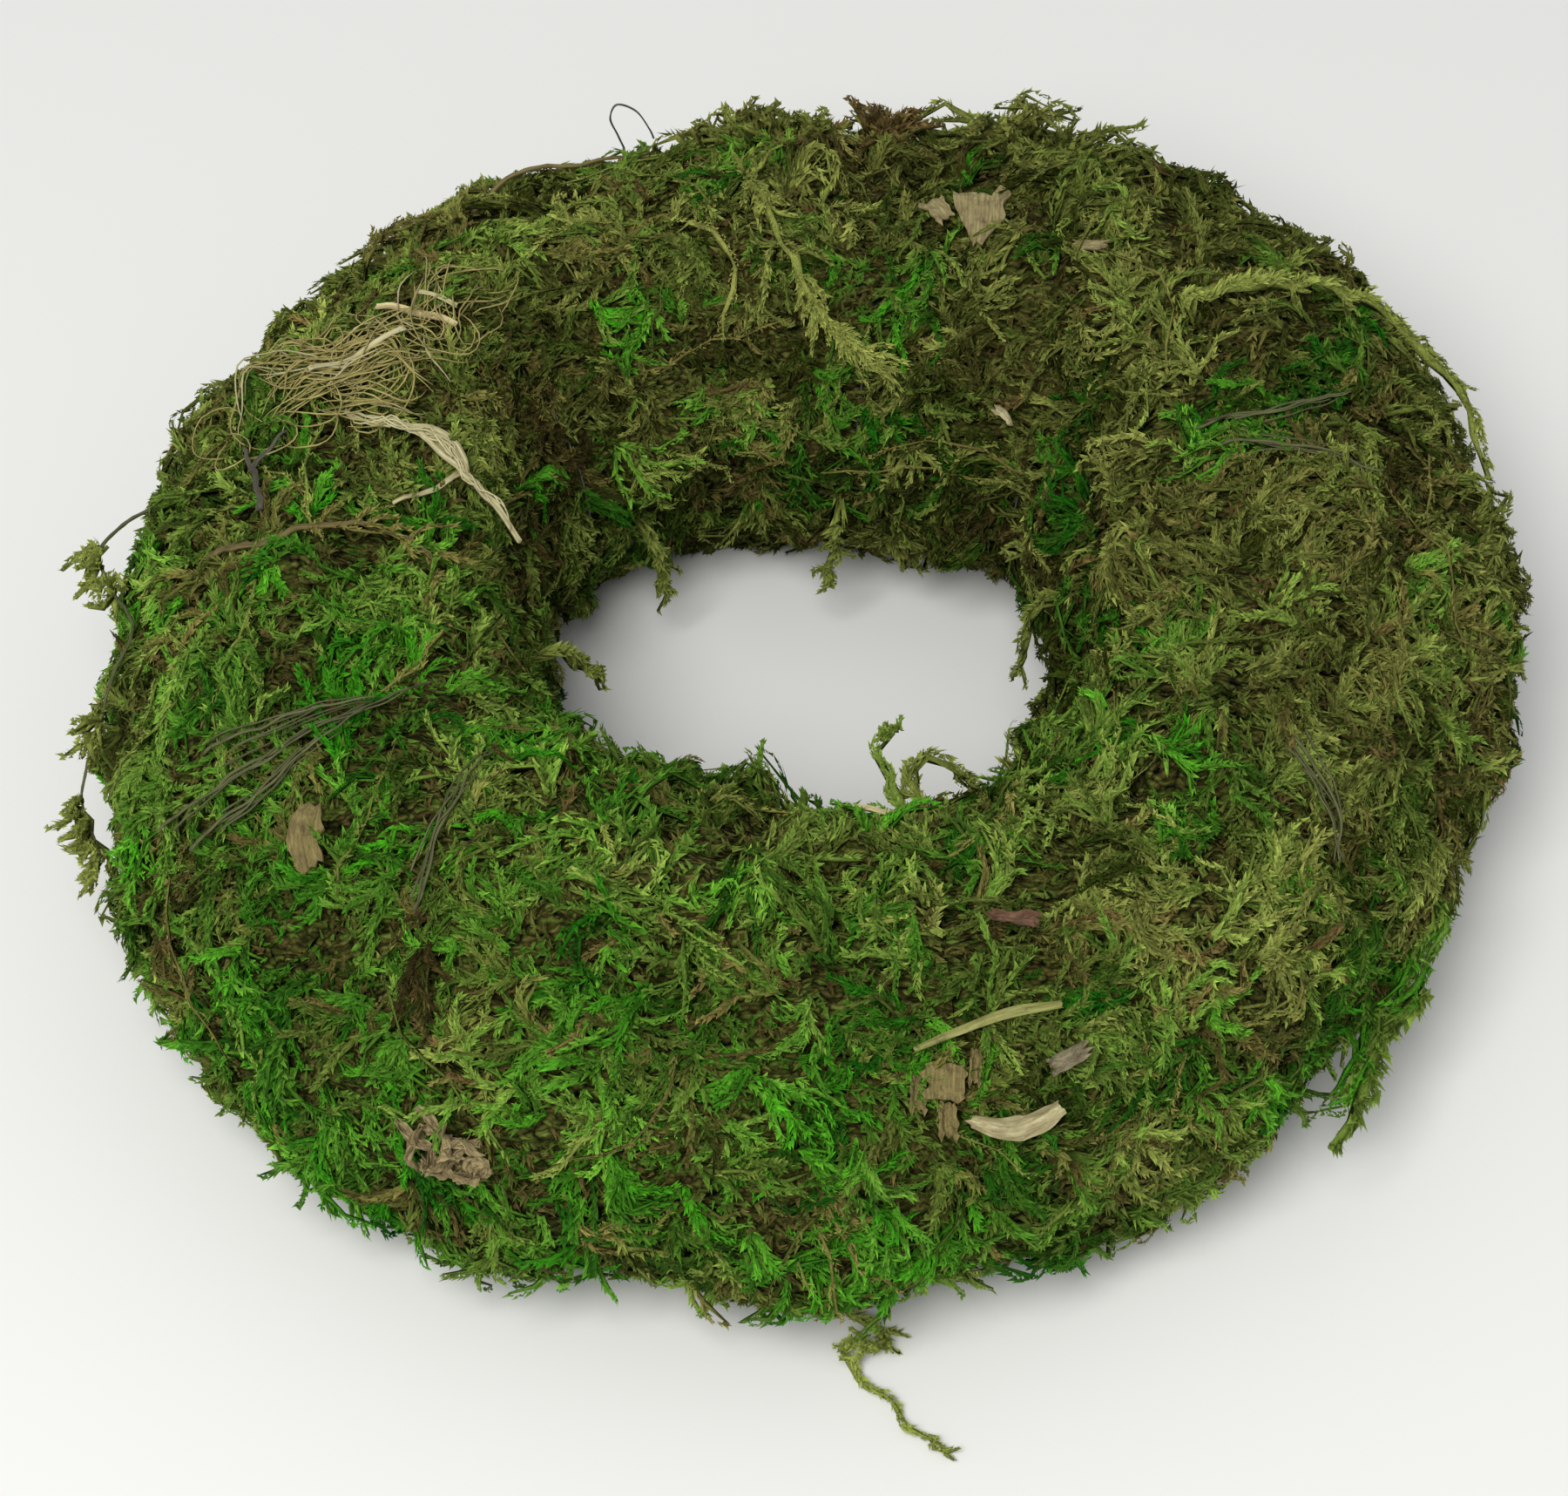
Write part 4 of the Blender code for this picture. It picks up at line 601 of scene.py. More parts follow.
class Growth:
    """Gathers many bent copies of shapes into one mesh."""

    def __init__(self):
        self.points, self.faces, self.colours, self.lies, self.slots = [], [], [], [], []
        self.count = 0

    def add(self, points, faces, colours, lies, slot=0):
        self.points.append(points)
        self.faces.append(faces + self.count)
        self.colours.append(colours)
        self.lies.append(lies)
        self.slots.append(np.full(len(faces), slot, np.int32))
        self.count += len(points)

    def lay(self, shape, path, normals, look=(0.0, 0.0, 0.5), twist=0.0, width=1.0, slot=0):
        """A shape on a path. Its look is how dyed, how brown and how light it is."""
        points = shape.points * (1.0, width * MM, width * MM)
        colours = np.empty((len(points), 4))
        colours[:, :3] = look
        # The fourth channel carries the shape's tone with its painted shade.
        colours[:, 3] = shape.tones_and_painted_shade
        lies = shape.straight * MM + (0.0, 0.0, GRAIN_SHIFT * (self.count % GRAIN_SHIFTS))
        self.add(bend(points, path, normals, twist), shape.faces, colours, lies, slot)

    def finish(self, name, slot, node, *materials, smooth=True):
        """Makes the piece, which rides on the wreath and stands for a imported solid."""
        points, faces = np.concatenate(self.points), np.concatenate(self.faces)
        points[:, 2] = np.maximum(points[:, 2], 0.0)
        mesh = bpy.data.meshes.new(name)
        mesh.vertices.add(len(points))
        mesh.vertices.foreach_set("co", points.astype(np.float32).ravel())
        mesh.loops.add(3 * len(faces))
        mesh.loops.foreach_set("vertex_index", faces.astype(np.int32).ravel())
        mesh.polygons.add(len(faces))
        mesh.polygons.foreach_set("loop_start", np.arange(0, 3 * len(faces), 3, dtype=np.int32))
        mesh.polygons.foreach_set("material_index", np.concatenate(self.slots))
        mesh.update(calc_edges=True)
        look = mesh.attributes.new("growth", "FLOAT_COLOR", "POINT")
        look.data.foreach_set("color", np.concatenate(self.colours).astype(np.float32).ravel())
        lie = mesh.attributes.new("lie", "FLOAT_VECTOR", "POINT")
        lie.data.foreach_set("vector", np.concatenate(self.lies).astype(np.float32).ravel())
        if not smooth:
            mesh.shade_flat()
        for material in materials:
            mesh.materials.append(MATERIALS[material])
        piece = bpy.data.objects.new(name, mesh)
        bpy.context.scene.collection.objects.link(piece)
        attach(piece, "root")
        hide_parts(node)


# Materials.


FLOAT, COLOUR, VECTOR = "NodeSocketFloat", "NodeSocketColor", "NodeSocketVector"

# The darkest and the palest colour of fresh, dyed and old moss.
FRESH = ((0.034, 0.044, 0.002), (0.50, 0.56, 0.125))
DYED = ((0.007, 0.115, 0.001), (0.095, 0.52, 0.011))
OLD = ((0.034, 0.024, 0.004), (0.34, 0.225, 0.075))

# Materials with fibres: their dark, pale and stain colours and their roughness. The last two are on packed
# solids, where the grain runs through space at a scale.
SOIL = (0.06, 0.04, 0.02)
STRAW_STAIN = (0.26, 0.19, 0.08)
GRAINED = {
    "straw": ((0.33, 0.25, 0.10), (0.66, 0.56, 0.30), STRAW_STAIN, 0.45),
    "dry grass": ((0.17, 0.145, 0.04), (0.48, 0.41, 0.14), (0.10, 0.08, 0.02), 0.55),
    "stalk": ((0.30, 0.26, 0.11), (0.60, 0.56, 0.33), (0.20, 0.16, 0.06), 0.5),
    "green straw": ((0.14, 0.14, 0.035), (0.31, 0.31, 0.10), SOIL, 0.55),
    "tan flake": ((0.14, 0.11, 0.042), (0.32, 0.27, 0.125), SOIL, 0.75),
    "brown flake": ((0.09, 0.072, 0.02), (0.24, 0.19, 0.07), SOIL, 0.8),
    "cream shaving": ((0.20, 0.165, 0.07), (0.49, 0.44, 0.25), (0.16, 0.12, 0.05), 0.5),
    "pinkish flake": ((0.11, 0.09, 0.05), (0.24, 0.205, 0.125), SOIL, 0.75),
    "reddish leaf": ((0.07, 0.032, 0.018), (0.17, 0.09, 0.05), SOIL, 0.7),
    "dark stem": ((0.035, 0.037, 0.012), (0.125, 0.13, 0.052), (0.04, 0.035, 0.015), 0.75),
    "dark twig": ((0.03, 0.026, 0.018), (0.115, 0.105, 0.075), SOIL, 0.7),
    "brown twig": ((0.06, 0.046, 0.014), (0.20, 0.16, 0.055), SOIL, 0.75),
    "dead leaf": ((0.12, 0.085, 0.035), (0.36, 0.29, 0.14), SOIL, 0.75),
    "wire": ((0.03, 0.03, 0.027), (0.12, 0.12, 0.11), (0.10, 0.05, 0.02), 0.35),
    "straw bundle": ((0.33, 0.25, 0.10), (0.62, 0.52, 0.28), STRAW_STAIN, 0.6, 0.5),
    "twine": ((0.22, 0.15, 0.07), (0.48, 0.37, 0.20), SOIL, 0.9, 1.0),
}


def feed(tree, socket, value):
    """Links a socket to another, or sets a number, a vector or a colour on it."""
    if isinstance(value, bpy.types.NodeSocket):
        tree.links.new(value, socket)
    else:
        socket.default_value = (*value, 1.0) if socket.type == "RGBA" else value


def add_node(tree, kind, inputs, **settings):
    """A shader node with its settings made and then its inputs fed, by name or number."""
    node = tree.nodes.new(f"ShaderNode{kind}")
    for key, value in settings.items():
        setattr(node, key, value)
    for key, value in inputs.items():
        feed(tree, node.inputs[key], value)
    return node


def mix(tree, factor, low, high, blend="MIX"):
    """The colour between two others."""
    return add_node(tree, "Mix", {0: factor, 6: low, 7: high}, data_type="RGBA", blend_type=blend).outputs[2]


def calculate(tree, operation, first, second):
    return add_node(tree, "Math", {0: first, 1: second}, operation=operation).outputs[0]


def noise_at(tree, vector, scale, detail=3.0, roughness=0.6):
    inputs = {"Vector": vector, "Scale": scale, "Detail": detail, "Roughness": roughness}
    return add_node(tree, "TexNoise", inputs).outputs["Fac"]


def scaled(tree, vector, factors):
    return add_node(tree, "VectorMath", {0: vector, 1: factors}, operation="MULTIPLY").outputs[0]


def stretched(tree, value, low, high):
    """From 0 to 1 where a value goes from low to high."""
    return add_node(tree, "MapRange", {"Value": value, "From Min": low, "From Max": high}).outputs[0]


def add_bump(tree, shader, height, distance, strength=1.0):
    inputs = {"Height": height, "Distance": distance * MM, "Strength": strength}
    feed(tree, shader.inputs["Normal"], add_node(tree, "Bump", inputs).outputs["Normal"])


def group(name, inputs, outputs):
    """A new shader node group with named sockets, what it is given, and where its results go."""
    tree = bpy.data.node_groups.new(name, "ShaderNodeTree")
    for kind, sockets in (("INPUT", inputs), ("OUTPUT", outputs)):
        for label, socket, default in sockets:
            made = tree.interface.new_socket(name=label, in_out=kind, socket_type=socket)
            if default is not None:
                made.default_value = default
    return tree, tree.nodes.new("NodeGroupInput").outputs, tree.nodes.new("NodeGroupOutput").inputs


def moss_tint_group():
    """The colour of moss from how dyed, brown and light a shoot is, darkened by the painted shade that a
    point carries.
    """
    tree, given, result = group(
        "Moss tint",
        (
            ("Place", VECTOR, None), ("Dye", FLOAT, 0.0), ("Age", FLOAT, 0.0), ("Light", FLOAT, 0.5),
            ("Tone and painted shade", FLOAT, 0.5),
        ),
        (("Color", COLOUR, None), ("Roughness", FLOAT, None)),
    )
    dapple = calculate(tree, "MULTIPLY", noise_at(tree, given["Place"], 900.0, 2.0), 0.5)
    light = calculate(tree, "SUBTRACT", calculate(tree, "ADD", given["Light"], dapple), 0.25)
    fresh, dyed, old = (mix(tree, light, *pair) for pair in (FRESH, DYED, OLD))
    colour = mix(tree, given["Age"], mix(tree, given["Dye"], fresh, dyed), old)
    # Painted shade: the colour is multiplied by a grey taken from the painted shade each point carries.
    shade = calculate(tree, "ADD", given["Tone and painted shade"], 0.4)
    grey = add_node(tree, "CombineColor", {0: shade, 1: shade, 2: shade}).outputs[0]
    feed(tree, result["Color"], mix(tree, 1.0, colour, grey, "MULTIPLY"))
    gloss = calculate(tree, "MULTIPLY", given["Tone and painted shade"], 0.22)
    feed(tree, result["Roughness"], calculate(tree, "SUBTRACT", 0.92, gloss))
    return tree


def grain_group():
    """Fine fibres that run along a straw, flake or twig, with darker streaks and blotches."""
    tree, given, result = group(
        "Fibre grain",
        (
            ("Lie", VECTOR, None), ("Scale", FLOAT, 1.0), ("Dark", COLOUR, (0.1, 0.1, 0.1, 1.0)),
            ("Pale", COLOUR, (0.5, 0.5, 0.5, 1.0)), ("Stain", COLOUR, (0.1, 0.08, 0.05, 1.0)),
        ),
        (("Color", COLOUR, None), ("Height", FLOAT, None)),
    )
    fibres = noise_at(tree, scaled(tree, given["Lie"], (120.0, 2600.0, 2600.0)), given["Scale"])
    blotches = noise_at(tree, scaled(tree, given["Lie"], (300.0, 500.0, 500.0)), 1.0, 4.0, 0.7)
    stain = calculate(tree, "MULTIPLY", stretched(tree, blotches, 0.52, 0.72), 0.75)
    colour = mix(tree, stretched(tree, fibres, 0.3, 0.68), given["Dark"], given["Pale"])
    feed(tree, result["Color"], mix(tree, stain, colour, given["Stain"]))
    feed(tree, result["Height"], fibres)
    return tree


def new_material(name, roughness, specular=0.3):
    material = bpy.data.materials.new(name)
    material.use_nodes = True
    shader = material.node_tree.nodes["Principled BSDF"]
    shader.inputs["Roughness"].default_value = roughness
    shader.inputs["Specular IOR Level"].default_value = specular
    return material, material.node_tree, shader


def carried(tree, attribute):
    """What a mesh carries in an attribute."""
    return add_node(tree, "Attribute", {}, attribute_name=attribute).outputs


def in_space(tree):
    return add_node(tree, "TexCoord", {}).outputs["Object"]


def moss_material(name, tint):
    """Moss whose shoots carry their own look in the attribute growth, and their straight places in lie."""
    material, tree, shader = new_material(name, 0.8, 0.12)
    growth = carried(tree, "growth")
    dye, age, light = add_node(tree, "SeparateColor", {0: growth["Color"]}).outputs
    scales = noise_at(tree, scaled(tree, carried(tree, "lie")["Vector"], (2300.0, 3400.0, 3400.0)), 1.0, 2.0)
    # The painted shade each point carries, darker at leaf roots and lighter at leaf tips, broken up by fine
    # scales of varied tone.
    shade = calculate(tree, "ADD", growth["Alpha"], calculate(tree, "MULTIPLY", scales, 0.9))
    tip = calculate(tree, "SUBTRACT", shade, 0.45)
    look = {"Place": in_space(tree), "Dye": dye, "Age": age, "Light": light, "Tone and painted shade": tip}
    tinted = add_node(tree, "Group", look, node_tree=tint).outputs
    feed(tree, shader.inputs["Base Color"], tinted["Color"])
    feed(tree, shader.inputs["Roughness"], tinted["Roughness"])
    add_bump(tree, shader, scales, 0.3)
    return material


def mat_material(name, tint):
    """The old moss under the shoots: crumbled leaves, each of its own colour, with painted shade darkening
    each crumb towards its edges, dark between them.
    """
    material, tree, shader = new_material(name, 0.95, 0.08)
    place = in_space(tree)
    swirl = add_node(tree, "TexNoise", {"Vector": place, "Scale": 380.0}).outputs["Color"]
    straight, astray = scaled(tree, place, (520.0, 1250.0, 900.0)), scaled(tree, swirl, (2.2, 2.2, 2.2))
    strewn = add_node(tree, "VectorMath", {0: straight, 1: astray}, operation="ADD").outputs[0]
    crumbs = add_node(tree, "TexVoronoi", {"Vector": strewn, "Scale": 1.0}).outputs
    shades = add_node(tree, "SeparateColor", {0: crumbs["Color"]}).outputs
    dye, age, light = (calculate(tree, "MULTIPLY", *pair) for pair in zip(shades, (0.35, 0.9, 0.5)))
    # Painted shade: each crumb is painted darker towards its edges; the same height makes its bump.
    raised = calculate(tree, "SUBTRACT", 0.75, crumbs["Distance"])
    tip = calculate(tree, "SUBTRACT", raised, 0.25)
    look = {"Place": place, "Dye": dye, "Age": age, "Light": light, "Tone and painted shade": tip}
    tinted = add_node(tree, "Group", look, node_tree=tint).outputs
    feed(tree, shader.inputs["Base Color"], tinted["Color"])
    add_bump(tree, shader, raised, 0.8)
    return material


def grained_material(name, grain, dark, pale, stain, roughness, scale=None):
    """A material with fibres along a piece, by the places it carries, or through space at a scale."""
    material, tree, shader = new_material(name, roughness)
    lie = in_space(tree) if scale else carried(tree, "lie")["Vector"]
    look = {"Lie": lie, "Scale": scale or 1.0, "Dark": dark, "Pale": pale, "Stain": stain}
    fibres = add_node(tree, "Group", look, node_tree=grain).outputs
    feed(tree, shader.inputs["Base Color"], fibres["Color"])
    add_bump(tree, shader, fibres["Height"], 0.15, 0.7)
    return material


def make_materials():
    tint, grain = moss_tint_group(), grain_group()
    made = {name: grained_material(name, grain, *finish) for name, finish in GRAINED.items()}
    made["moss shoots"] = moss_material("moss shoots", tint)
    made["moss mat"] = mat_material("moss mat", tint)
    return made


MATERIALS = make_materials()


# Moss.


ROUTE_STEP = 1.5 * MM


def curve(route, cuts):
    """Points on a smooth curve through a route. cuts says how many there are from one place to the next."""
    result = []
    for i in range(len(route) - 1):
        before, start, end, after = (route[min(max(i + k, 0), len(route) - 1)] for k in (-1, 0, 1, 2))
        count = cuts(start, end)
        for j in range(count):
            t = j / count
            result.append(
                start
                + t * 0.5 * (end - before)
                + t * t * (before - 2.5 * start + 2 * end - 0.5 * after)
                + t**3 * (1.5 * start - 0.5 * before - 1.5 * end + 0.5 * after)
            )
    return np.array([*result, route[-1]])


def dense(route, step=ROUTE_STEP):
    """Places on a smooth curve through a route, about a step apart, in radians and metres."""
    places = [
        np.array((math.radians(ring), math.radians(section), lift * MM)) for ring, section, lift in route
    ]

    def cuts(start, end):
        return max(1, math.ceil(np.linalg.norm(on_roll(*start) - on_roll(*end)) / step))

    return curve(places, cuts)


class Clearings:
    """What has to stay in sight, and how far the shoots keep off it."""

    KEPT = (
        (FORKED_STALK, 1.3), (STALK_FORK, 0.9), (SHORT_STRAW, 1.2), (GRASS_HEARTS, 2.0), (DARK_TWIG, 1.2),
        (BROWN_TWIG, 1.0), (FAN_FLAKE, 2.4), (SIDE_FLAKE, 1.0), (SMALL_FLAKE, 0.7), (STRAW_BIT, 1.2),
        (STRAW_STRIP, 0.8), (FRONT_FLAKE, 1.0), (CREAM_SHAVING, 1.0), (PINK_FLAKE, 0.5), (BROWN_FLAKE, 1.2),
        (HOLE_STRAW, 1.0), (DEAD_LEAF, 1.8), (RED_LEAF_BIT, 0.6), (MOSS_PLUME, 1.2), (THIN_STRAND, 0.8),
        (RIGHT_STRAND, 1.2), (LEFT_SPRIG, 1.5),
    )

    def __init__(self):
        self.rooms = []
        points = []
        for route, room in self.KEPT:
            for ring, section, _ in dense(route, 2 * MM):
                points.append(on_roll(ring, section, lift_at(ring, section)))
                self.rooms.append(room * MM)
        self.tree = KDTree(len(points))
        for i, point in enumerate(points):
            self.tree.insert(Vector(point), i)
        self.tree.balance()

    def touched_by(self, path):
        for point in path:
            _, which, distance = self.tree.find(Vector(point))
            if distance < self.rooms[which]:
                return True
        return False


def heading_at(rng, ring, section):
    """Which way a tuft grows: down the flanks, and every way on top."""
    place = Vector(on_roll(ring, section, 0.0))
    sway = noise.noise(place / (30 * MM) + Vector((0, 0, 11)))
    down = 0.0 if section > TURN / 4 else math.pi
    loose = 1.0 - 0.6 * abs(math.cos(section))
    return down + 4.5 * sway * loose + rng.gauss(0.0, 0.4 + 1.0 * loose)


def shoot_path(ring, section, length, heading, base, rise, arch, curl, steps=PATH_STEPS):
    """Places from a shoot's root to its tip, close over the moss, and the roll's normals there."""
    reach = float(roll_reach(ring, section))
    step = length * MM / (steps - 1)
    shares = np.arange(steps) / (steps - 1)
    headings = heading + curl * np.cumsum(0.3 + shares)
    rings = ring + np.concatenate([[0.0], np.cumsum(np.sin(headings[:-1]))]) * step / reach
    sections = section + np.concatenate([[0.0], np.cumsum(np.cos(headings[:-1]))]) * step / ROLL_HALF_WIDTH
    lifts = base + rise * np.sin(math.pi * arch * shares) - (1.2 if steps > 3 else 0.0) * (1 - shares) ** 3
    return on_roll(rings, sections, lift_at(rings, sections) + lifts * MM), roll_normal(rings, sections)


def look_at(rng, ring, section, marked=None, shared=(0.0, 0.0, 0.0)):
    """How dyed, how brown and how light a shoot is at a place. A tuft shares a part of its look."""
    green, brown, light, dark, _ = marked or marks(ring, section)
    place = Vector(on_roll(ring, section, 0.0))
    towards = math.cos(ring - GREENEST)
    dye = DYE + DYE_TOWARDS * towards + DYE_MIDDLE * max(towards, 0.0) ** 8
    dye += DYE_PATCHES * noise.noise(place / (16 * MM) + Vector((0, 8, 0)))
    dye = max(dye + rng.gauss(0.0, 0.08) + shared[0], math.sqrt(green) * rng.uniform(0.7, 1.0))
    age = max(brown * rng.uniform(0.3, 1.0), shared[1] * rng.uniform(0.6, 1.0))
    if rng.random() < OLD_SHOOTS:
        age = max(age, rng.uniform(0.4, 0.9))
    age += OLD_PATCHES * max(0.0, noise.noise(place / (18 * MM) + Vector((3, 0, 0))))
    shine = LIGHTNESS + LIGHTNESS_PATCHES * noise.noise(place / (14 * MM)) + rng.gauss(0.0, LIGHTNESS_VARIES)
    # Painted shade: the moss is painted darker in the places of painted shade.
    shine = shine + shared[2] + 0.15 * light - 0.3 * dark
    # Painted shade: darker down into the hole and towards the far right side.
    shine -= HOLE_PAINTED_SHADE * min(max((section - TURN / 3) / (TURN / 8), 0.0), 1.0)
    shine -= RIGHT_PAINTED_SHADE * max(math.cos(ring - FAR_RIGHT), 0.0)
    return min(max(dye * (1 - age * 0.5), 0.0), 1.0), min(age, 1.0), min(max(shine, 0.0), 1.0)


def pick_shape(rng, length):
    return rng.choice(SHOOTS[min(SHOOT_LENGTHS, key=lambda known: abs(known - length))])


def spread_places(rng, spacing):
    """Roots all over the roll, a spacing apart, in a loosened grid."""
    low, high = (math.radians(value) for value in TUFT_SECTIONS)
    bands = round((high - low) * ROLL_HALF_WIDTH / MM / spacing)
    for band in range(bands):
        section = low + (high - low) * (band + 0.5) / bands
        cells = round(TURN * float(roll_reach(0.0, section)) / MM / spacing)
        for cell in range(cells):
            ring = TURN * (cell + rng.random()) / cells
            yield ring, section + (high - low) / bands * rng.uniform(-0.5, 0.5)


def pad_of(ring, section):
    """Which pad a place belongs to."""
    for index in range(-1, PADS + 1):
        if seam(index, section) <= ring < seam(index + 1, section):
            return index % PADS
    return PADS - 1


def grow_tuft(rng, growth, ring, section, clearings):
    """Shoots on both sides of a short stem, like a torn frond."""
    heading = heading_at(rng, ring, section)
    reach = float(roll_reach(ring, section))
    count = rng.randint(*TUFT_SHOOTS)
    spine = rng.uniform(3, 12)
    base = 1.2 * CLUMP_HEIGHT / MM * clump(on_roll(ring, section, 0.0)) + rng.uniform(-0.7, 0.9)
    splay = rng.uniform(0.25, 1.2)
    curl = rng.gauss(0.0, 0.26)
    shared = (
        rng.uniform(0.15, 0.5) if rng.random() < DYED_TUFTS else 0.0,
        rng.uniform(0.4, 0.9) if rng.random() < OLD_TUFTS else 0.0,
        rng.gauss(0.0, 0.15),
    )
    for k in range(count):
        along = spine * ((k + 0.5) / count - 0.4) * MM
        root_ring = ring + along * math.sin(heading) / reach
        root_section = section + along * math.cos(heading) / ROLL_HALF_WIDTH
        marked = marks(root_ring, root_section)
        if marked[BARE] > 0.5:
            continue
        turn = splay * (1 if k % 2 else -1) * rng.uniform(0.5, 1.2)
        length = rng.triangular(5, 18, 8)
        rise = rng.uniform(0.4, 2.0) + (rng.uniform(0.8, 2.6) if rng.random() < TALL_SHOOTS else 0.0)
        bent = curl + rng.gauss(0.0, 0.3) - 0.12 * turn
        arch = rng.uniform(0.5, 1.15)
        way = heading + turn
        path, normals = shoot_path(root_ring, root_section, length, way, base, rise, arch, bent)
        if clearings.touched_by(path):
            length *= 0.7
            low = min(base, 0.0) - DUCKED
            path, normals = shoot_path(root_ring, root_section, length, way, low, 0.5, 1.0, bent)
        look = look_at(rng, root_ring, root_section, marked, shared)
        shape, twist, width = pick_shape(rng, length), rng.uniform(-0.7, 0.7), rng.uniform(0.85, 1.3)
        growth.lay(shape, path, normals, look, twist, width)


def scatter_litter(rng, growths):
    """Tiny sprigs all over the mat, which show in the gaps between the shoots."""
    for ring, section in spread_places(rng, LITTER_SPACING):
        marked = marks(ring, section)
        if marked[BARE] > 0.5:
            continue
        base = CLUMP_HEIGHT / MM * clump(on_roll(ring, section, 0.0)) + rng.uniform(-1.7, -0.6)
        path, normals = shoot_path(ring, section, LITTER_LENGTH, rng.uniform(0, TURN), base, 0.6, 0.5, 0.1, 3)
        dye, age, light = look_at(rng, ring, section, marked)
        if rng.random() < 0.4:
            age = max(age, rng.uniform(0.4, 1.0))
        growths[pad_of(ring, section)].lay(rng.choice(LITTER), path, normals, (0.7 * dye, age, 0.6 * light))


def add_mat(growth, index):
    """The mat of old moss of one pad: a closed sleeve from seam to seam."""
    bm = new_shape()
    bmesh.ops.create_cone(bm, cap_ends=True, segments=MAT_SECTIONS, radius1=1, radius2=1, depth=1)
    lengthwise = [edge for edge in bm.edges if abs(edge.verts[0].co.z - edge.verts[1].co.z) > 0.5]
    bmesh.ops.subdivide_edges(bm, edges=lengthwise, cuts=MAT_RINGS - 1, use_grid_fill=True)
    sleeve = Shape(bm, 1.0)
    x, y, z = sleeve.straight.T
    sections, shares = np.arctan2(y, x), z + 0.5
    rings = seam(index, sections) * (1 - shares) + seam(index + 1, sections) * shares
    places = on_roll(rings, sections, 0.0)
    lumps = [MAT_ROUGHNESS * noise.noise(Vector(at) / MAT_PITCH) + CLUMP_HEIGHT * clump(at) for at in places]
    held = np.clip(roll_level(rings, sections) / RELIEF_FADES_BELOW, 0.0, 1.0)
    points = on_roll(rings, sections, lift_at(rings, sections) + held * (np.array(lumps) - MAT_DEPTH))
    growth.add(points, sleeve.faces[:, ::-1], np.tile(MAT_LOOK, (len(points), 1)), points, slot=1)


def make_moss_pads():
    rng = random.Random(12)
    growths = [Growth() for _ in range(PADS)]
    clearings = Clearings()
    for index in range(PADS):
        add_mat(growths[index], index)
    for ring, section in spread_places(rng, TUFT_SPACING):
        grow_tuft(rng, growths[pad_of(ring, section)], ring, section, clearings)
    scatter_litter(rng, growths)
    grow_runners(rng, growths)
    grow_fringe(rng, growths)
    for number, growth in enumerate(growths, 1):
        pad = f"moss_pad_{number:02d}"
        growth.finish(f"{pad}_shoots", "moss", pad, "moss shoots", "moss mat")


def long_path(rng, ring, section, length, heading, lift, curl, wave=0.5, steps=12):
    """A wavering path over the moss, for fibres and stems."""
    reach = float(roll_reach(ring, section))
    step = length * MM / (steps - 1)
    turns = np.arange(steps)
    waves = np.sin(turns * rng.uniform(0.5, 1.1) + rng.random() * 6)
    headings = heading + curl * (turns - steps / 2) + wave * waves
    rings = ring + np.cumsum(np.sin(headings)) * step / reach
    sections = section + np.cumsum(np.cos(headings)) * step / ROLL_HALF_WIDTH
    rise = lift + np.sin(np.linspace(0, math.pi, steps)) * rng.uniform(-0.6, 1.6)
    path = on_roll(rings, sections, lift_at(rings, sections) + np.maximum(rise, 0.3) * MM)
    return path, roll_normal(rings, sections)


def grow_runners(rng, growths):
    """Long thin shoots that wander over the others."""
    low, high = (math.radians(value) for value in TUFT_SECTIONS)
    for _ in range(RUNNER_COUNT):
        ring, section = rng.uniform(0, TURN), rng.uniform(low + RUNNER_MARGIN, high - RUNNER_MARGIN)
        length, heading = RUNNER_LENGTH * rng.uniform(0.6, 1.3), heading_at(rng, ring, section)
        lift, curl = rng.uniform(1.2, 2.4), rng.gauss(0, 0.06)
        path, normals = long_path(rng, ring, section, length, heading, lift, curl, 0.3)
        look = (0.3 * rng.random(), rng.choice((0.0, 0.2, 0.6)), rng.uniform(0.1, 0.7))
        growths[pad_of(ring, section)].lay(rng.choice(RUNNERS), path, normals, look, rng.uniform(-0.7, 0.7))


def grow_fringe(rng, growths):
    """Single shoots that stand off the outline."""
    for ring, section, length in FRINGE:
        ring, section = math.radians(ring), math.radians(section)
        growth = growths[pad_of(ring % TURN, section)]
        length *= FRINGE_SHARE
        for _ in range(FRINGE_SHOOTS):
            at = ring + rng.gauss(0, 0.02)
            heading = math.pi + rng.gauss(0.0, 0.8) if section < math.radians(30) else rng.uniform(0, TURN)
            rise = length * rng.uniform(0.45, 0.75)
            size = length * rng.uniform(0.8, 1.1)
            arch, curl = rng.uniform(0.4, 0.6), rng.gauss(0, 0.25)
            path, normals = shoot_path(at, section, size, heading, 0.5, rise, arch, curl)
            shape, look = pick_shape(rng, size), look_at(rng, at, section)
            growth.lay(shape, path, normals, look, width=rng.uniform(0.9, 1.2))


make_moss_pads()


# The loose bits.


LIFTS = np.arange(-5, 22, 0.4) * MM


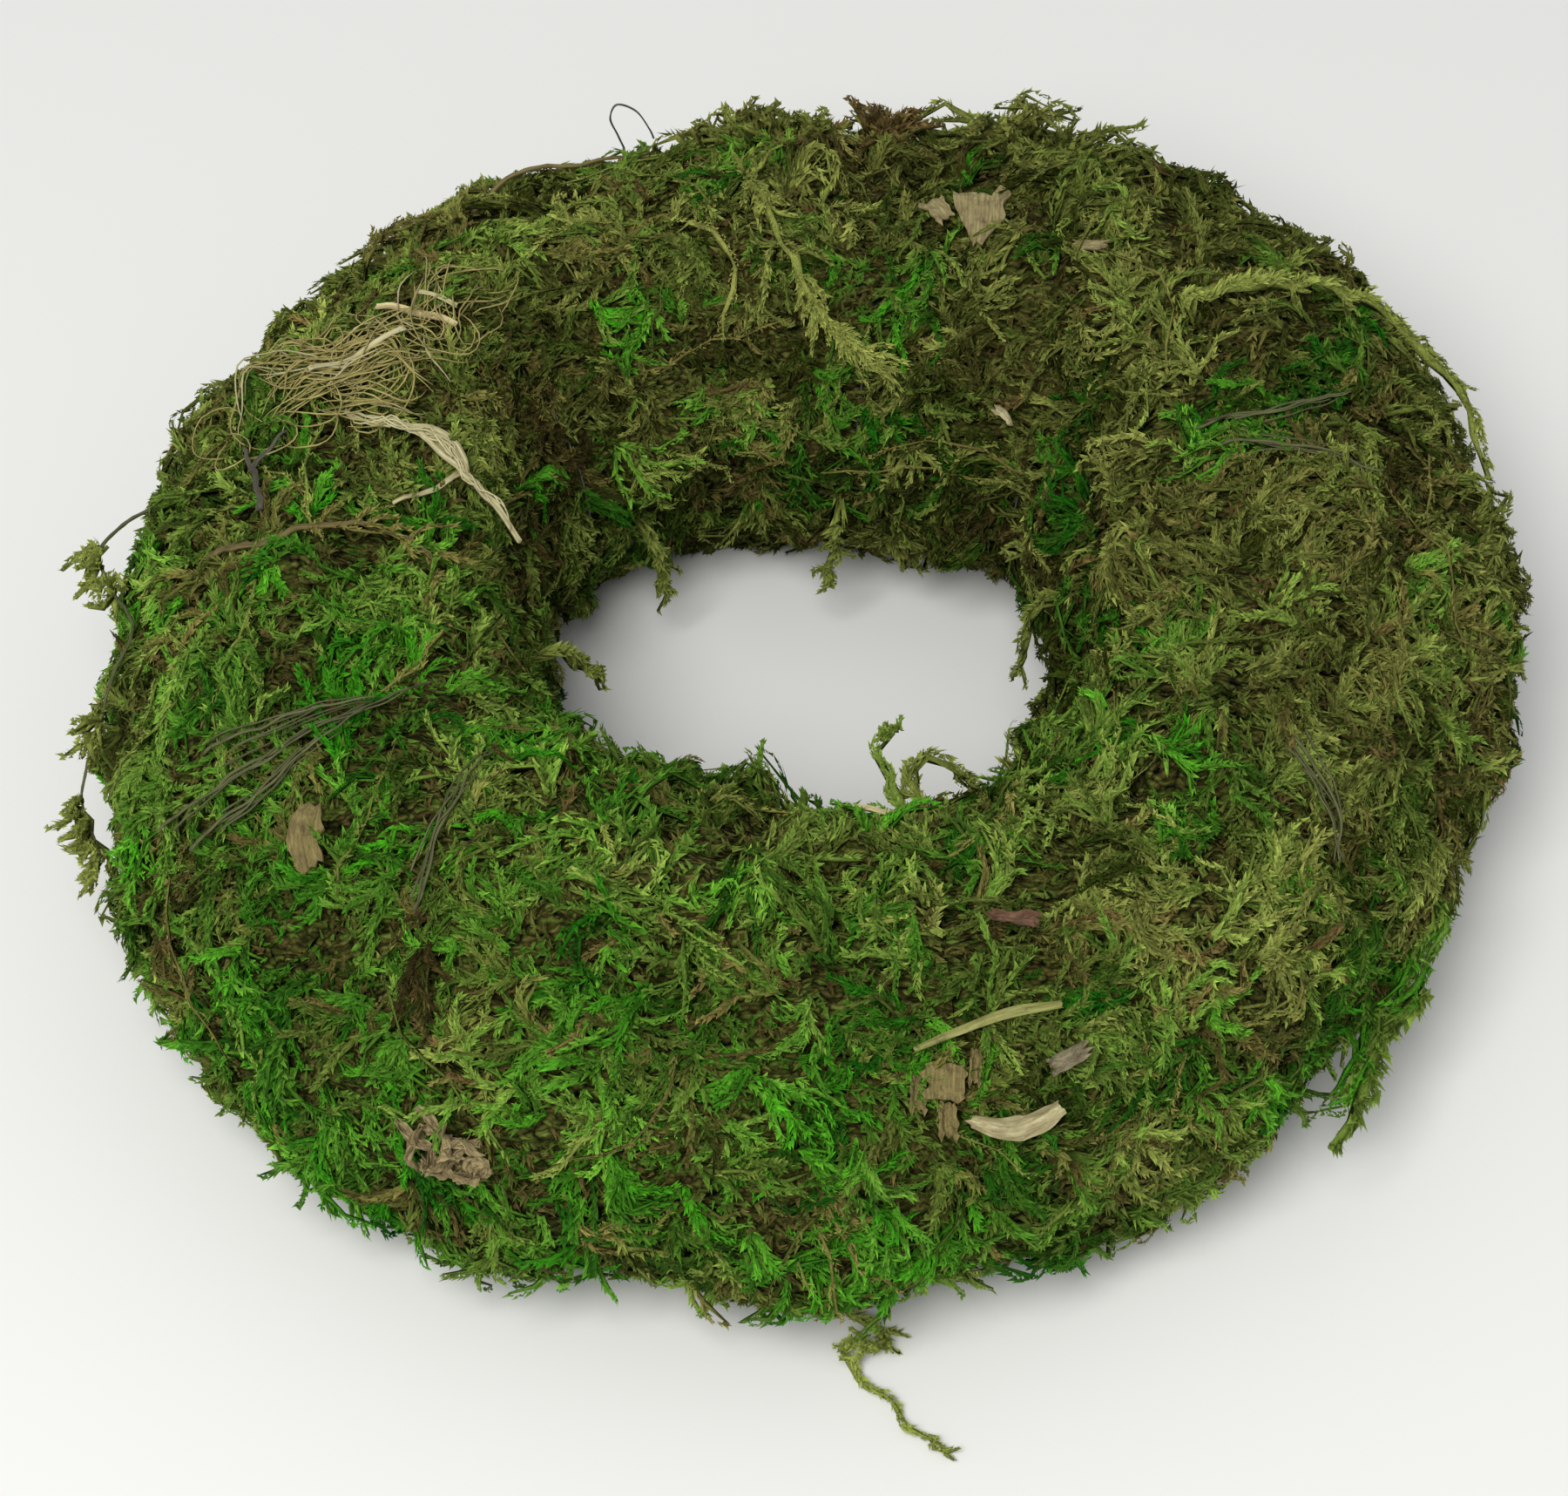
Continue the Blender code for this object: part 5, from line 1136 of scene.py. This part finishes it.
def seat(name, places, clear=None):
    """Points and normals over the given ring and section angles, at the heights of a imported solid.

    A strand that lies on the shoots stays clear of them by a height over the moss.
    """
    tree = node_tree(name)
    rings, sections = places[:, 0], places[:, 1]
    lifts = []
    for ring, section in zip(rings, sections):
        column = on_roll(ring, section, LIFTS)
        distances = [tree.find_nearest(Vector(point))[3] for point in column]
        lifts.append(LIFTS[int(np.argmin(distances))])
    lifts = np.array(lifts)
    if clear is not None:
        lifts = np.maximum(lifts, lift_at(rings, sections) + clear * MM)
    if len(lifts) > 4:
        padded = np.concatenate([lifts[:1], lifts, lifts[-1:]])
        lifts = 0.25 * padded[:-2] + 0.5 * lifts + 0.25 * padded[2:]
    return on_roll(rings, sections, lifts), roll_normal(rings, sections)


def over_moss(places):
    """Points and normals at the places' own heights over the moss."""
    rings, sections, lifts = places.T
    return on_roll(rings, sections, lift_at(rings, sections) + lifts), roll_normal(rings, sections)


def path_length(path):
    return float(np.linalg.norm(np.diff(path, axis=0), axis=1).sum()) / MM


def waver(rng, path, normals, size, pitch):
    """A path that strays a little to both sides and up and down, as a dry stem does."""
    phases = [rng.uniform(0, TURN) for _ in range(4)]
    run = np.arange(len(path)) / (len(path) - 1) * path_length(path) / pitch
    sides = sideways(path, normals)
    sway = np.sin(run * TURN + phases[0]) + 0.5 * np.sin(run * 2.3 * TURN + phases[1])
    rise = np.sin(run * 0.8 * TURN + phases[2]) + 0.5 * np.sin(run * 1.9 * TURN + phases[3])
    return path + (sides * sway[:, None] + 0.4 * normals * rise[:, None]) * size * MM


def add_stem(growth, path, normals, radii, slot=0, look=(0.0, 0.6, 0.2), sides=6, knot=1.2):
    """A thin round stem along a path, with a knot here and there."""
    length = path_length(path)
    shape = rod_shape(length, sides, max(4, round(length / knot)), radii, 0.14, 0.3)
    growth.lay(shape, path, normals, look, slot=slot)


def add_spray(
    rng, growth, path, normals, start, end, count, lengths, look, spread=0.7, lift=0.5, width=1.0, slot=0
):
    """Shoots on both sides of a stretch of a stem."""
    tangents = unit(np.gradient(path, axis=0))
    sides = unit(np.cross(normals, tangents))
    for k in range(count):
        share = start + (end - start) * (k + rng.random()) / count
        at = share * (len(path) - 1)
        i = min(int(at), len(path) - 2)
        root = path[i] + (path[i + 1] - path[i]) * (at - i)
        out = (1 if k % 2 else -1) * spread * rng.uniform(0.5, 1.3)
        length = rng.uniform(*lengths) * MM
        way = unit(tangents[i] + sides[i] * out + normals[i] * lift * rng.uniform(-0.2, 1.0))
        droop = -normals[i] * rng.uniform(0.0, 0.5) + tangents[i] * rng.uniform(0.0, 0.5)
        shares = np.linspace(0, 1, 5)[:, None]
        line = root + way * length * shares + droop * length * 0.5 * shares**2
        varied = (look[0] * rng.uniform(0.6, 1.2), look[1], min(1.0, look[2] * rng.uniform(0.8, 1.2)))
        shape, twist, wide = pick_shape(rng, length / MM), rng.uniform(-1, 1), width * rng.uniform(0.75, 1.0)
        growth.lay(shape, line, np.tile(normals[i], (5, 1)), varied, twist, wide, slot)


def make_leafy(
    name, route, look, seed, core, leaf, sprays=(), clear=None, density=4.5, thick=1.0, free=False
):
    """A strand of moss along a route, leafy all the way, with its sprays of side shoots."""
    rng = random.Random(seed)
    places = dense(route)
    path, normals = over_moss(places) if free else seat(name, places, clear)
    ring, section, _ = places[0]
    root = on_roll(ring, section, lift_at(ring, section) - 1 * MM)
    path = np.concatenate([root[None], waver(rng, path, normals, 0.25, 9)])
    normals = np.concatenate([normals[:1], normals])
    growth = Growth()
    growth.lay(shoot_shape(path_length(path), seed, core, leaf, density), path, normals, look, width=thick)
    for stretch in sprays:
        add_spray(rng, growth, path, normals, *stretch[:4], look, *stretch[4:])
    growth.finish(f"{name}_leafy", "moss", name, "moss shoots")


# The flat bits: widths along each, material and slot, then thickness, how far its edges turn up, seed, how
# ragged it is, and how crumpled.
FLAKES = (
    ("short_straw", SHORT_STRAW, (1.2, 1.6, 1.0), "straw", "straw", 0.35, 0.3, 1, 0.4, 0.1),
    ("fan_flake", FAN_FLAKE, (2.4, 6.0, 9.5, 11.0), "tan flake", "tan_flake", 0.4, 0.5, 2, 1.2, 0.5),
    ("side_flake", SIDE_FLAKE, (5.2, 3.0), "tan flake", "tan_flake", 0.4, 0.3, 3, 1.2, 0.4),
    ("small_flake", SMALL_FLAKE, (2.6, 1.6), "tan flake", "tan_flake", 0.35, 0.2, 4, 1.0, 0.3),
    ("straw_bit", STRAW_BIT, (1.8, 0.9), "cream shaving", "cream", 0.4, 0.2, 5, 1.0, 0.1),
    ("front_flake", FRONT_FLAKE, (6.6, 6.2), "brown flake", "tan_flake", 0.5, 0.4, 6, 1.0, 0.5),
    ("straw_strip", STRAW_STRIP, (0.8, 1.4, 1.7, 1.2), "green straw", "straw", 0.4, 0.35, 7, 0.5, 0.3),
    ("cream_shaving", CREAM_SHAVING, (2.0, 4.0, 3.0), "cream shaving", "cream", 0.35, 1.3, 8, 1.0, 0.5),
    ("pink_flake", PINK_FLAKE, (3.2, 2.4), "pinkish flake", "pink", 0.5, 0.3, 9, 1.2, 0.8),
    ("brown_flake", BROWN_FLAKE, (3.6, 6.2, 4.6), "brown flake", "tan_flake", 0.5, 0.4, 10, 1.1, 0.7),
    ("hole_straw", HOLE_STRAW, (1.4, 2.2, 1.2), "straw", "straw", 0.35, 0.4, 11, 0.6, 0.3),
    ("red_leaf_bit", RED_LEAF_BIT, (1.6, 3.0), "reddish leaf", "pink", 0.3, 0.5, 12, 1.2, 1.0),
)


def make_flakes():
    """The flat bits: straws, bark flakes, a shaving and leaf bits."""
    for name, route, widths, material, slot, *form in FLAKES:
        path, normals = seat(name, dense(route))
        growth = Growth()
        growth.lay(flake_shape(path_length(path), widths, *form), path, normals)
        if name == "front_flake":
            add_splinters(growth, path, normals)
        growth.finish(f"{name}_torn", slot, name, material, smooth=False)


def add_splinters(growth, path, normals):
    """Splinters at one end of the front flake, each moved along it and across it."""
    side, forward, up = sideways(path, normals)[:5], unit(np.gradient(path, axis=0))[:5], normals[:5]
    for along, across, wide in FRONT_SPLINTERS:
        line = path[:5] + (side * across + forward * along - up * 0.8) * MM
        growth.lay(flake_shape(path_length(line), (wide, 0.7 * wide), 0.4, 0.3, 31, 1.3, 0.7), line, up)


def make_dead_leaf():
    """A curled, crumpled leaf, broken into small strips that twist over each other."""
    rng = random.Random(44)
    growth = Growth()
    middle = dense(DEAD_LEAF)
    for k in range(LEAF_STRIPS):
        ring, section, _ = middle[rng.randrange(len(middle) // 4, 3 * len(middle) // 4)]
        ring += rng.gauss(0, 2.0) * MM / float(roll_reach(ring, section))
        length, heading = rng.uniform(3.5, 8.0), rng.uniform(0, TURN)
        section -= 0.5 * length * MM * math.cos(heading) / ROLL_HALF_WIDTH
        lift, curl = rng.uniform(0.6, 3.4), rng.gauss(0, 0.14)
        path, normals = long_path(rng, ring, section, length, heading, lift, curl, 0.3)
        wide, cup = rng.uniform(1.2, 3.2), rng.uniform(0.3, 1.0)
        shape = flake_shape(length, (0.6, wide, wide, 0.8), 0.22, cup, 40 + k, 1.2, 1.3, (10, 5))
        growth.lay(shape, path, normals, twist=rng.uniform(-1.2, 1.2))
    growth.finish("dead_leaf_crumpled", "dead_leaf", "dead_leaf", "dead leaf", smooth=False)


def make_stalk():
    """The forked straw stalk: split lengthwise, with thin fibres coming off it."""
    rng = random.Random(5)
    growth = Growth()
    path, normals = seat("forked_stalk", dense(FORKED_STALK))
    widths = (0.4, 0.7, 1.3, 2.8, 2.2, 1.4, 1.1, 0.8)
    growth.lay(flake_shape(path_length(path), widths, 0.4, 0.5, 21, 0.5, 0.3, (40, 6)), path, normals)
    fork, up = seat("forked_stalk", dense(STALK_FORK))
    growth.lay(flake_shape(path_length(fork), (1.0, 0.9, 0.6), 0.35, 0.3, 22, 0.5, 0.2, (20, 4)), fork, up)
    bow = slice(len(path) // 3, 2 * len(path) // 3)
    middle, up = path[bow], normals[bow]
    out = sideways(middle, up) * np.sin(np.linspace(0, math.pi, len(middle)))[:, None]
    for reach, wide in ((2.2, 1.4), (-1.6, 1.0)):
        line = middle + (out * reach + up * 0.4) * MM
        growth.lay(flake_shape(path_length(line), (wide, wide), 0.35, 0.3, 24, 0.3, 0.2, (14, 4)), line, up)
    for _ in range(SPLIT_FIBRES):
        first = rng.randint(0, len(path) // 3)
        last = rng.randint(first + 6, len(path))
        up = normals[first:last]
        lifted = path[first:last] + up * rng.uniform(0.3, 1.1) * MM
        line = waver(rng, lifted, up, rng.uniform(0.5, 1.2), rng.uniform(8, 16))
        add_stem(growth, line, up, (0.16, 0.2, 0.12))
    growth.finish("forked_stalk_split", "straw", "forked_stalk", "stalk")


# Bundles of dry grass: ring angle, section angle and heading in degrees, fibres, shortest, longest, spread.
GRASS_BUNDLES = (
    (155, 78, -55, 36, 16, 34, 3.6),
    (151, 84, -50, 26, 12, 30, 3.4),
    (158, 73, -62, 12, 14, 26, 2.2),
    (141, 89, -120, 24, 9, 22, 2.6),
    (136, 93, -100, 14, 9, 18, 2.4),
    (158, 91, -35, 18, 8, 16, 2.0),
    (148, 87, 20, 14, 8, 20, 4.2),
    (153, 81, -52, 44, 7, 15, 2.8),
)


# Two flat blades on top of them, with their widths, and how far they are raised over the moss.
GRASS_BLADES = (
    (((157, 74, 0), (152, 83, 0), (147, 90, 0)), 1.1),
    (((141, 84, 0), (139, 94, 0)), 0.9),
)
BLADES_RAISED = np.array((0.0, 0.0, 4.4)) * MM
CURLED_FIBRES = 0.28


def make_grass():
    """A flattened tangle of fine dry grass: bundles of long fibres that cross."""
    rng = random.Random(6)
    growth = Growth()
    for ring, section, degrees, count, shortest, longest, spread in GRASS_BUNDLES:
        ring, section = math.radians(ring), math.radians(section)
        reach = float(roll_reach(ring, section))
        for k in range(count):
            heading = math.radians(degrees) + rng.gauss(0, 0.3)
            length = rng.uniform(shortest, longest)
            across, along = rng.gauss(0, spread) * MM, (rng.gauss(0, spread) - 0.5 * length) * MM
            c, s = math.cos(heading), math.sin(heading)
            at = ring + (along * s + across * c) / reach
            over = section + (along * c - across * s) / ROLL_HALF_WIDTH
            curl = rng.gauss(0.0, 0.10) + (rng.choice((-0.35, 0.35)) if rng.random() < CURLED_FIBRES else 0.0)
            path, normals = long_path(rng, at, over, length, heading, rng.uniform(1.8, 4.4), curl, 0.25)
            add_stem(growth, path, normals, (0.1, 0.19, 0.19, 0.08), slot=k % 8 // 7, sides=3, knot=2.0)
    for route, wide in GRASS_BLADES:
        path, normals = over_moss(dense(route) + BLADES_RAISED)
        shape = flake_shape(path_length(path), (wide, wide), 0.25, 0.2, 3, 0.6, 0.2)
        growth.lay(shape, path, normals, slot=1)
    growth.finish("dry_grass_tangle", "straw", "dry_grass", "dry grass", "stalk")


def make_dark_twig(rng):
    """The dark forked twig."""
    growth = Growth()
    for route, radii in ((DARK_TWIG, (0.75, 0.6, 0.5, 0.3)), (DARK_TWIG_FORK, (0.55, 0.4, 0.25))):
        path, normals = seat("dark_twig", dense(route))
        add_stem(growth, waver(rng, path, normals, 0.3, 7), normals, radii)
    growth.finish("dark_twig_forked", "dark_stem", "dark_twig", "dark twig")


def make_brown_twig(rng):
    """The brown twig, with shoots on its upper half."""
    growth = Growth()
    path, normals = seat("brown_twig", dense(BROWN_TWIG))
    path = waver(rng, path, normals, 0.4, 11)
    add_stem(growth, path, normals, (0.65, 0.6, 0.5, 0.3))
    add_spray(rng, growth, path, normals, 0.45, 1.0, 12, (4, 9), (0.0, 0.6, 0.6), 0.9, 0.4, slot=1)
    growth.finish("brown_twig_branched", "brown_twig", "brown_twig", "brown twig", "moss shoots")


def make_twig_arch(rng):
    """The thin twig that arches off the outline."""
    growth = Growth()
    path, normals = over_moss(dense(TWIG_ARCH))
    add_stem(growth, waver(rng, path, normals, 0.35, 8), normals, (0.55, 0.45, 0.4, 0.3))
    growth.finish("twig_arch_bent", "brown_twig", "twig_arch", "brown twig")


def make_dark_stems(rng):
    """Groups of long dark stems: a thicker one, and four thin ones beside it."""
    for name, route in DARK_STEMS.items():
        growth = Growth()
        path, normals = seat(name, dense(route), 2.0)
        add_stem(growth, waver(rng, path, normals, 0.3, 14), normals, (0.31, 0.29, 0.24, 0.15))
        sides = sideways(path, normals)
        for _ in range(STEMS_BESIDE):
            first = rng.randint(0, len(path) // 3)
            last = rng.randint(2 * len(path) // 3, len(path))
            side, up = sides[first:last], normals[first:last]
            across = np.linspace(rng.uniform(-3, 3), rng.uniform(-1.2, 1.2), last - first)[:, None]
            shifted = path[first:last] + (side * across + up * rng.uniform(-0.6, 0.4)) * MM
            add_stem(growth, waver(rng, shifted, up, 0.3, 18), up, (0.22, 0.18, 0.12), sides=4)
        growth.finish(f"{name}_thin", "dark_stem", name, "dark stem")


def make_twigs():
    rng = random.Random(8)
    make_dark_twig(rng)
    make_brown_twig(rng)
    make_twig_arch(rng)
    make_dark_stems(rng)


def make_left_sprig():
    """A thin stem with three leafy sprays, off the left outline."""
    rng = random.Random(9)
    growth = Growth()
    path, normals = over_moss(dense(LEFT_SPRIG))
    path = waver(rng, path, normals, 0.3, 12)
    add_stem(growth, path, normals, (0.36, 0.34, 0.3, 0.28, 0.22), slot=1)
    look = (0.1, 0.1, 0.65)
    for start, end, count, longest in ((0.18, 0.32, 15, 9), (0.64, 0.72, 9, 6.5), (0.84, 1.0, 24, 7.5)):
        add_spray(rng, growth, path, normals, start, end, count, (4, longest), look, 1.0, 3.2, 1.7)
    growth.finish("left_sprig_leafy", "moss", "left_sprig", "moss shoots", "dark stem")


def make_top_tufts():
    """Tufts that stand up together on the far outline. One is brown."""
    for number, ((ring, section), reach) in enumerate(TOP_TUFTS, 1):
        rng = random.Random(60 + number)
        growth = Growth()
        brown = number == BROWN_TUFT
        for _ in range(TOP_TUFT_SHOOTS):
            at = math.radians(ring + rng.gauss(0, 0.8 if brown else 1.8))
            over = math.radians(section + rng.gauss(0, 2 if brown else 4))
            length = reach * rng.uniform(0.6, 1.3)
            heading, rise, curl = rng.uniform(0, TURN), reach * rng.uniform(0.3, 0.75), rng.gauss(0, 0.65)
            path, normals = shoot_path(at, over, length, heading, 0.6, rise, rng.uniform(0.5, 0.8), curl)
            look = (0.1 * rng.random(), rng.uniform(0.0, 0.3) if not brown else 0.95, rng.uniform(0.3, 0.6))
            shape, twist, width = pick_shape(rng, length), rng.uniform(-1, 1), rng.uniform(1.1, 1.6)
            growth.lay(shape, path, normals, look, twist, width)
        growth.finish(f"top_tuft_{number}_shoots", "moss", f"top_tuft_{number}", "moss shoots")


def make_flap():
    """The loose folded edge of a moss sheet: shoots along the right flank, and a long one that hangs free."""
    rng = random.Random(14)
    growth = Growth()
    path, normals = seat("loose_flap", dense(LOOSE_FLAP))
    path -= FLAP_SUNK * normals
    sides = sideways(path, normals)
    for _ in range(FLAP_SHOOTS):
        first = rng.randint(0, round(0.75 * len(path)) - 8)
        last = first + rng.randint(7, 10)
        side, up = sides[first:last], normals[first:last]
        line = path[first:last] + (side * rng.uniform(-4.0, 4.0) + up * rng.uniform(-2.8, -0.2)) * MM
        look = (rng.uniform(0.3, 0.95), 0.1 * rng.random(), rng.uniform(0.3, 0.6))
        growth.lay(pick_shape(rng, path_length(line)), line, up, look, rng.uniform(-1, 1), 1.25)
    lead = path[round(FLAP_LEAD_FROM * len(path)) : round(FLAP_TAIL_FROM * len(path))]
    tail = np.concatenate([lead[:-2:3], lead[-1] + FLAP_TAIL * MM])
    tail[:, 2] = np.maximum(tail[:, 2], 1.5 * MM)
    shape = shoot_shape(path_length(tail), 91, 0.7, 2.2, 8.0)
    growth.lay(shape, tail, np.tile(normals[-1], (len(tail), 1)), (0.35, 0.1, 0.5), 0.3, 1.9)
    growth.finish("loose_flap_shoots", "moss", "loose_flap", "moss shoots")


def make_trail():
    """The strand that curls out on to the table."""
    rng = random.Random(15)
    growth = Growth()
    path = curve([AXIS_AT + np.array(place) * MM for place in TRAIL], lambda start, end: TRAIL_CUTS)
    normals = np.tile(UP, (len(path), 1))
    growth.lay(shoot_shape(path_length(path), 97, 0.5, 1.4, 8.0), path, normals, TRAIL_LOOK, width=1.35)
    add_spray(rng, growth, path, normals, 0.15, 0.5, 8, (3, 6), TRAIL_LOOK, 1.1, 0.4, 1.2)
    add_spray(rng, growth, path, normals, 0.93, 1.0, 3, (2, 3), TRAIL_LOOK, 0.4, 0.2, 1.2)
    growth.finish("trailing_strand_leafy", "moss", "trailing_strand", "moss shoots")


# The binding wire: the seam where it starts, its turns round the roll in degrees, where it crosses from one
# seam to the next under the roll, how deep it is sunk, and its radius in millimetres.
WIRE_FIRST_SEAM = 4
WIRE_TURN, WIRE_LAST_TURN = range(-30, 301, 10), range(-30, 31, 10)
WIRE_CROSSES, WIRE_CROSSING_PARTS = (math.radians(-54), math.radians(-38)), 8
WIRE_SUNK, WIRE_RADIUS = 4.6 * MM, 0.2
# The wire's end: ring angle from where its last turn ends, section angle and height.
WIRE_END_LOOP = (
    (-0.6, 44, 2.0), (0.2, 50, 5.0), (0.9, 54, 8.5), (0.2, 56, 11.0), (-1.6, 55, 9.0), (-2.8, 52, 5.0),
    (-3.2, 50, 3.0),
)


def wire_route():
    """The binding wire's way: up a groove, over the roll, round under it, and across the pad to the next."""
    low, high = WIRE_CROSSES
    places = []
    for turn in range(WIRE_FIRST_SEAM, WIRE_FIRST_SEAM + PADS):
        last = turn == WIRE_FIRST_SEAM + PADS - 1
        for degrees in WIRE_LAST_TURN if last else WIRE_TURN:
            section = math.radians(degrees)
            places.append((float(seam(turn, section)), section))
        if not last:
            start, end = float(seam(turn, low)), float(seam(turn + 1, high))
            for k in range(WIRE_CROSSING_PARTS + 1):
                share = k / WIRE_CROSSING_PARTS
                places.append((start + (end - start) * share, low + (high - low) * share))
    return places


def make_wire():
    """The thin binding wire, which ends in a small loop that stands off the moss at the back."""
    places = wire_route()
    path, normals = seat("binding_wire", np.array(places))
    path -= normals * WIRE_SUNK
    last = math.degrees(places[-1][0])
    rings, sections, lifts = dense([(last + ring, *rest) for ring, *rest in WIRE_END_LOOP], 0.6 * MM).T
    path = np.concatenate([path, on_roll(rings, sections, lifts)])
    normals = np.concatenate([normals, roll_normal(rings, sections)])
    path[:, 2] = np.maximum(path[:, 2], 0.5 * MM)
    growth = Growth()
    growth.lay(rod_shape(path_length(path), 4, len(path), (WIRE_RADIUS, WIRE_RADIUS)), path, normals)
    growth.finish("binding_wire_thin", "wire", "binding_wire", "wire")


def make_strands():
    """The moss strands that lie free on the wreath or stand into its hole."""
    olive, pale, green = (0.1, 0.1, 0.5), (0.05, 0.1, 0.72), (0.3, 0.05, 0.55)
    make_leafy("knotted_strand", KNOTTED_STRAND, (0.0, 0.5, 0.5), 71, 0.6, 1.6, KNOT_SPRAYS)
    make_leafy("right_strand", RIGHT_STRAND, (0.1, 0.1, 0.66), 72, 0.95, 1.8, RIGHT_SPRAYS, 2.4, 7.0, 1.15)
    make_leafy("moss_plume", MOSS_PLUME, pale, 73, 0.85, 0.9, PLUME_SPRAYS, 3.0, 5.0)
    make_leafy("thin_strand", THIN_STRAND, (0.0, 0.2, 0.85), 74, 0.6, 0.8, (), 2.8)
    make_leafy("hole_hook", HOLE_HOOK, green, 75, 0.7, 1.4, HOOK_SPRAYS, None, 10.0, 1.25, True)
    make_leafy("hole_arch", HOLE_ARCH, olive, 76, 0.7, 1.4, ARCH_SPRAYS, None, 10.0, 1.25, True)
    for number, route in enumerate(HOLE_SPRIGS, 1):
        look = (0.1, 0.1, 0.4)
        make_leafy(f"hole_sprig_{number}", route, look, 80 + number, 0.7, 1.6, SPRIG_SPRAYS, None, 8.0, 1.3)


def dress_base():
    """The straw base and its twine, deep inside."""
    for name, material in (("straw_ring", "straw bundle"), ("ring_twine", "twine")):
        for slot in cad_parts[name].material_slots:
            slot.material = MATERIALS[material]


make_flakes()
make_dead_leaf()
make_stalk()
make_grass()
make_twigs()
make_left_sprig()
make_strands()
make_top_tufts()
make_flap()
make_trail()
make_wire()
dress_base()


# The floor, the light and the camera.


FLOOR_HALF, FLOOR_DROP, FLOOR_COLOUR = 3.0, 0.2 * MM, (0.77, 0.773, 0.75, 1.0)
LAMP_AT, LAMP_WIDTH, LAMP_POWER, LAMP_COLOUR = Vector((-0.28, -0.80, 1.28)), 0.8, 19.5, (1.0, 0.995, 0.98)
SKY_COLOUR, SKY_STRENGTH = (0.98, 0.99, 1.0, 1.0), 0.52


def make_floor():
    bm = bmesh.new()
    bmesh.ops.create_grid(bm, x_segments=1, y_segments=1, size=FLOOR_HALF)
    mesh = bpy.data.meshes.new("floor")
    bm.to_mesh(mesh)
    bm.free()
    material, _, shader = new_material("floor", 0.9)
    shader.inputs["Base Color"].default_value = FLOOR_COLOUR
    mesh.materials.append(material)
    floor = bpy.data.objects.new("floor", mesh)
    floor.location.z = -FLOOR_DROP
    bpy.context.scene.collection.objects.link(floor)
    floor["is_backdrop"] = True


def make_light():
    """A wide lamp over the camera, aimed at the wreath, and an even sky, so that hardly any shadow shows."""
    lamp = bpy.data.lights.new("softbox", "AREA")
    lamp.shape = "DISK"
    lamp.size = LAMP_WIDTH
    lamp.energy = LAMP_POWER
    lamp.color = LAMP_COLOUR
    holder = bpy.data.objects.new("softbox", lamp)
    holder.location = LAMP_AT
    holder.rotation_euler = (-LAMP_AT).to_track_quat("-Z", "Y").to_euler()
    bpy.context.scene.collection.objects.link(holder)
    world = bpy.data.worlds.new("sky")
    bpy.context.scene.world = world
    world.use_nodes = True
    background = world.node_tree.nodes["Background"]
    background.inputs["Color"].default_value = SKY_COLOUR
    background.inputs["Strength"].default_value = SKY_STRENGTH
    bpy.context.scene.view_settings.view_transform = "Standard"


def make_camera():
    lens = bpy.data.cameras.new("camera")
    lens.lens = CAMERA_LENS
    lens.sensor_width = CAMERA_FILM
    lens.sensor_fit = "HORIZONTAL"
    lens.clip_start, lens.clip_end = CAMERA_SEES
    camera = bpy.data.objects.new("camera", lens)
    back = np.array((0.0, -math.cos(CAMERA_ELEVATION), math.sin(CAMERA_ELEVATION)))
    camera.location = CAMERA_AIM + back * CAMERA_DISTANCE
    camera.rotation_euler = (TURN / 4 - CAMERA_ELEVATION, 0.0, 0.0)
    bpy.context.scene.collection.objects.link(camera)
    bpy.context.scene.camera = camera


make_floor()
make_light()
make_camera()

boxes = {"cad": CAD_BOX, "visual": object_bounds()}
{name: [[float(value) for value in corner] for corner in box] for name, box in boxes.items()}
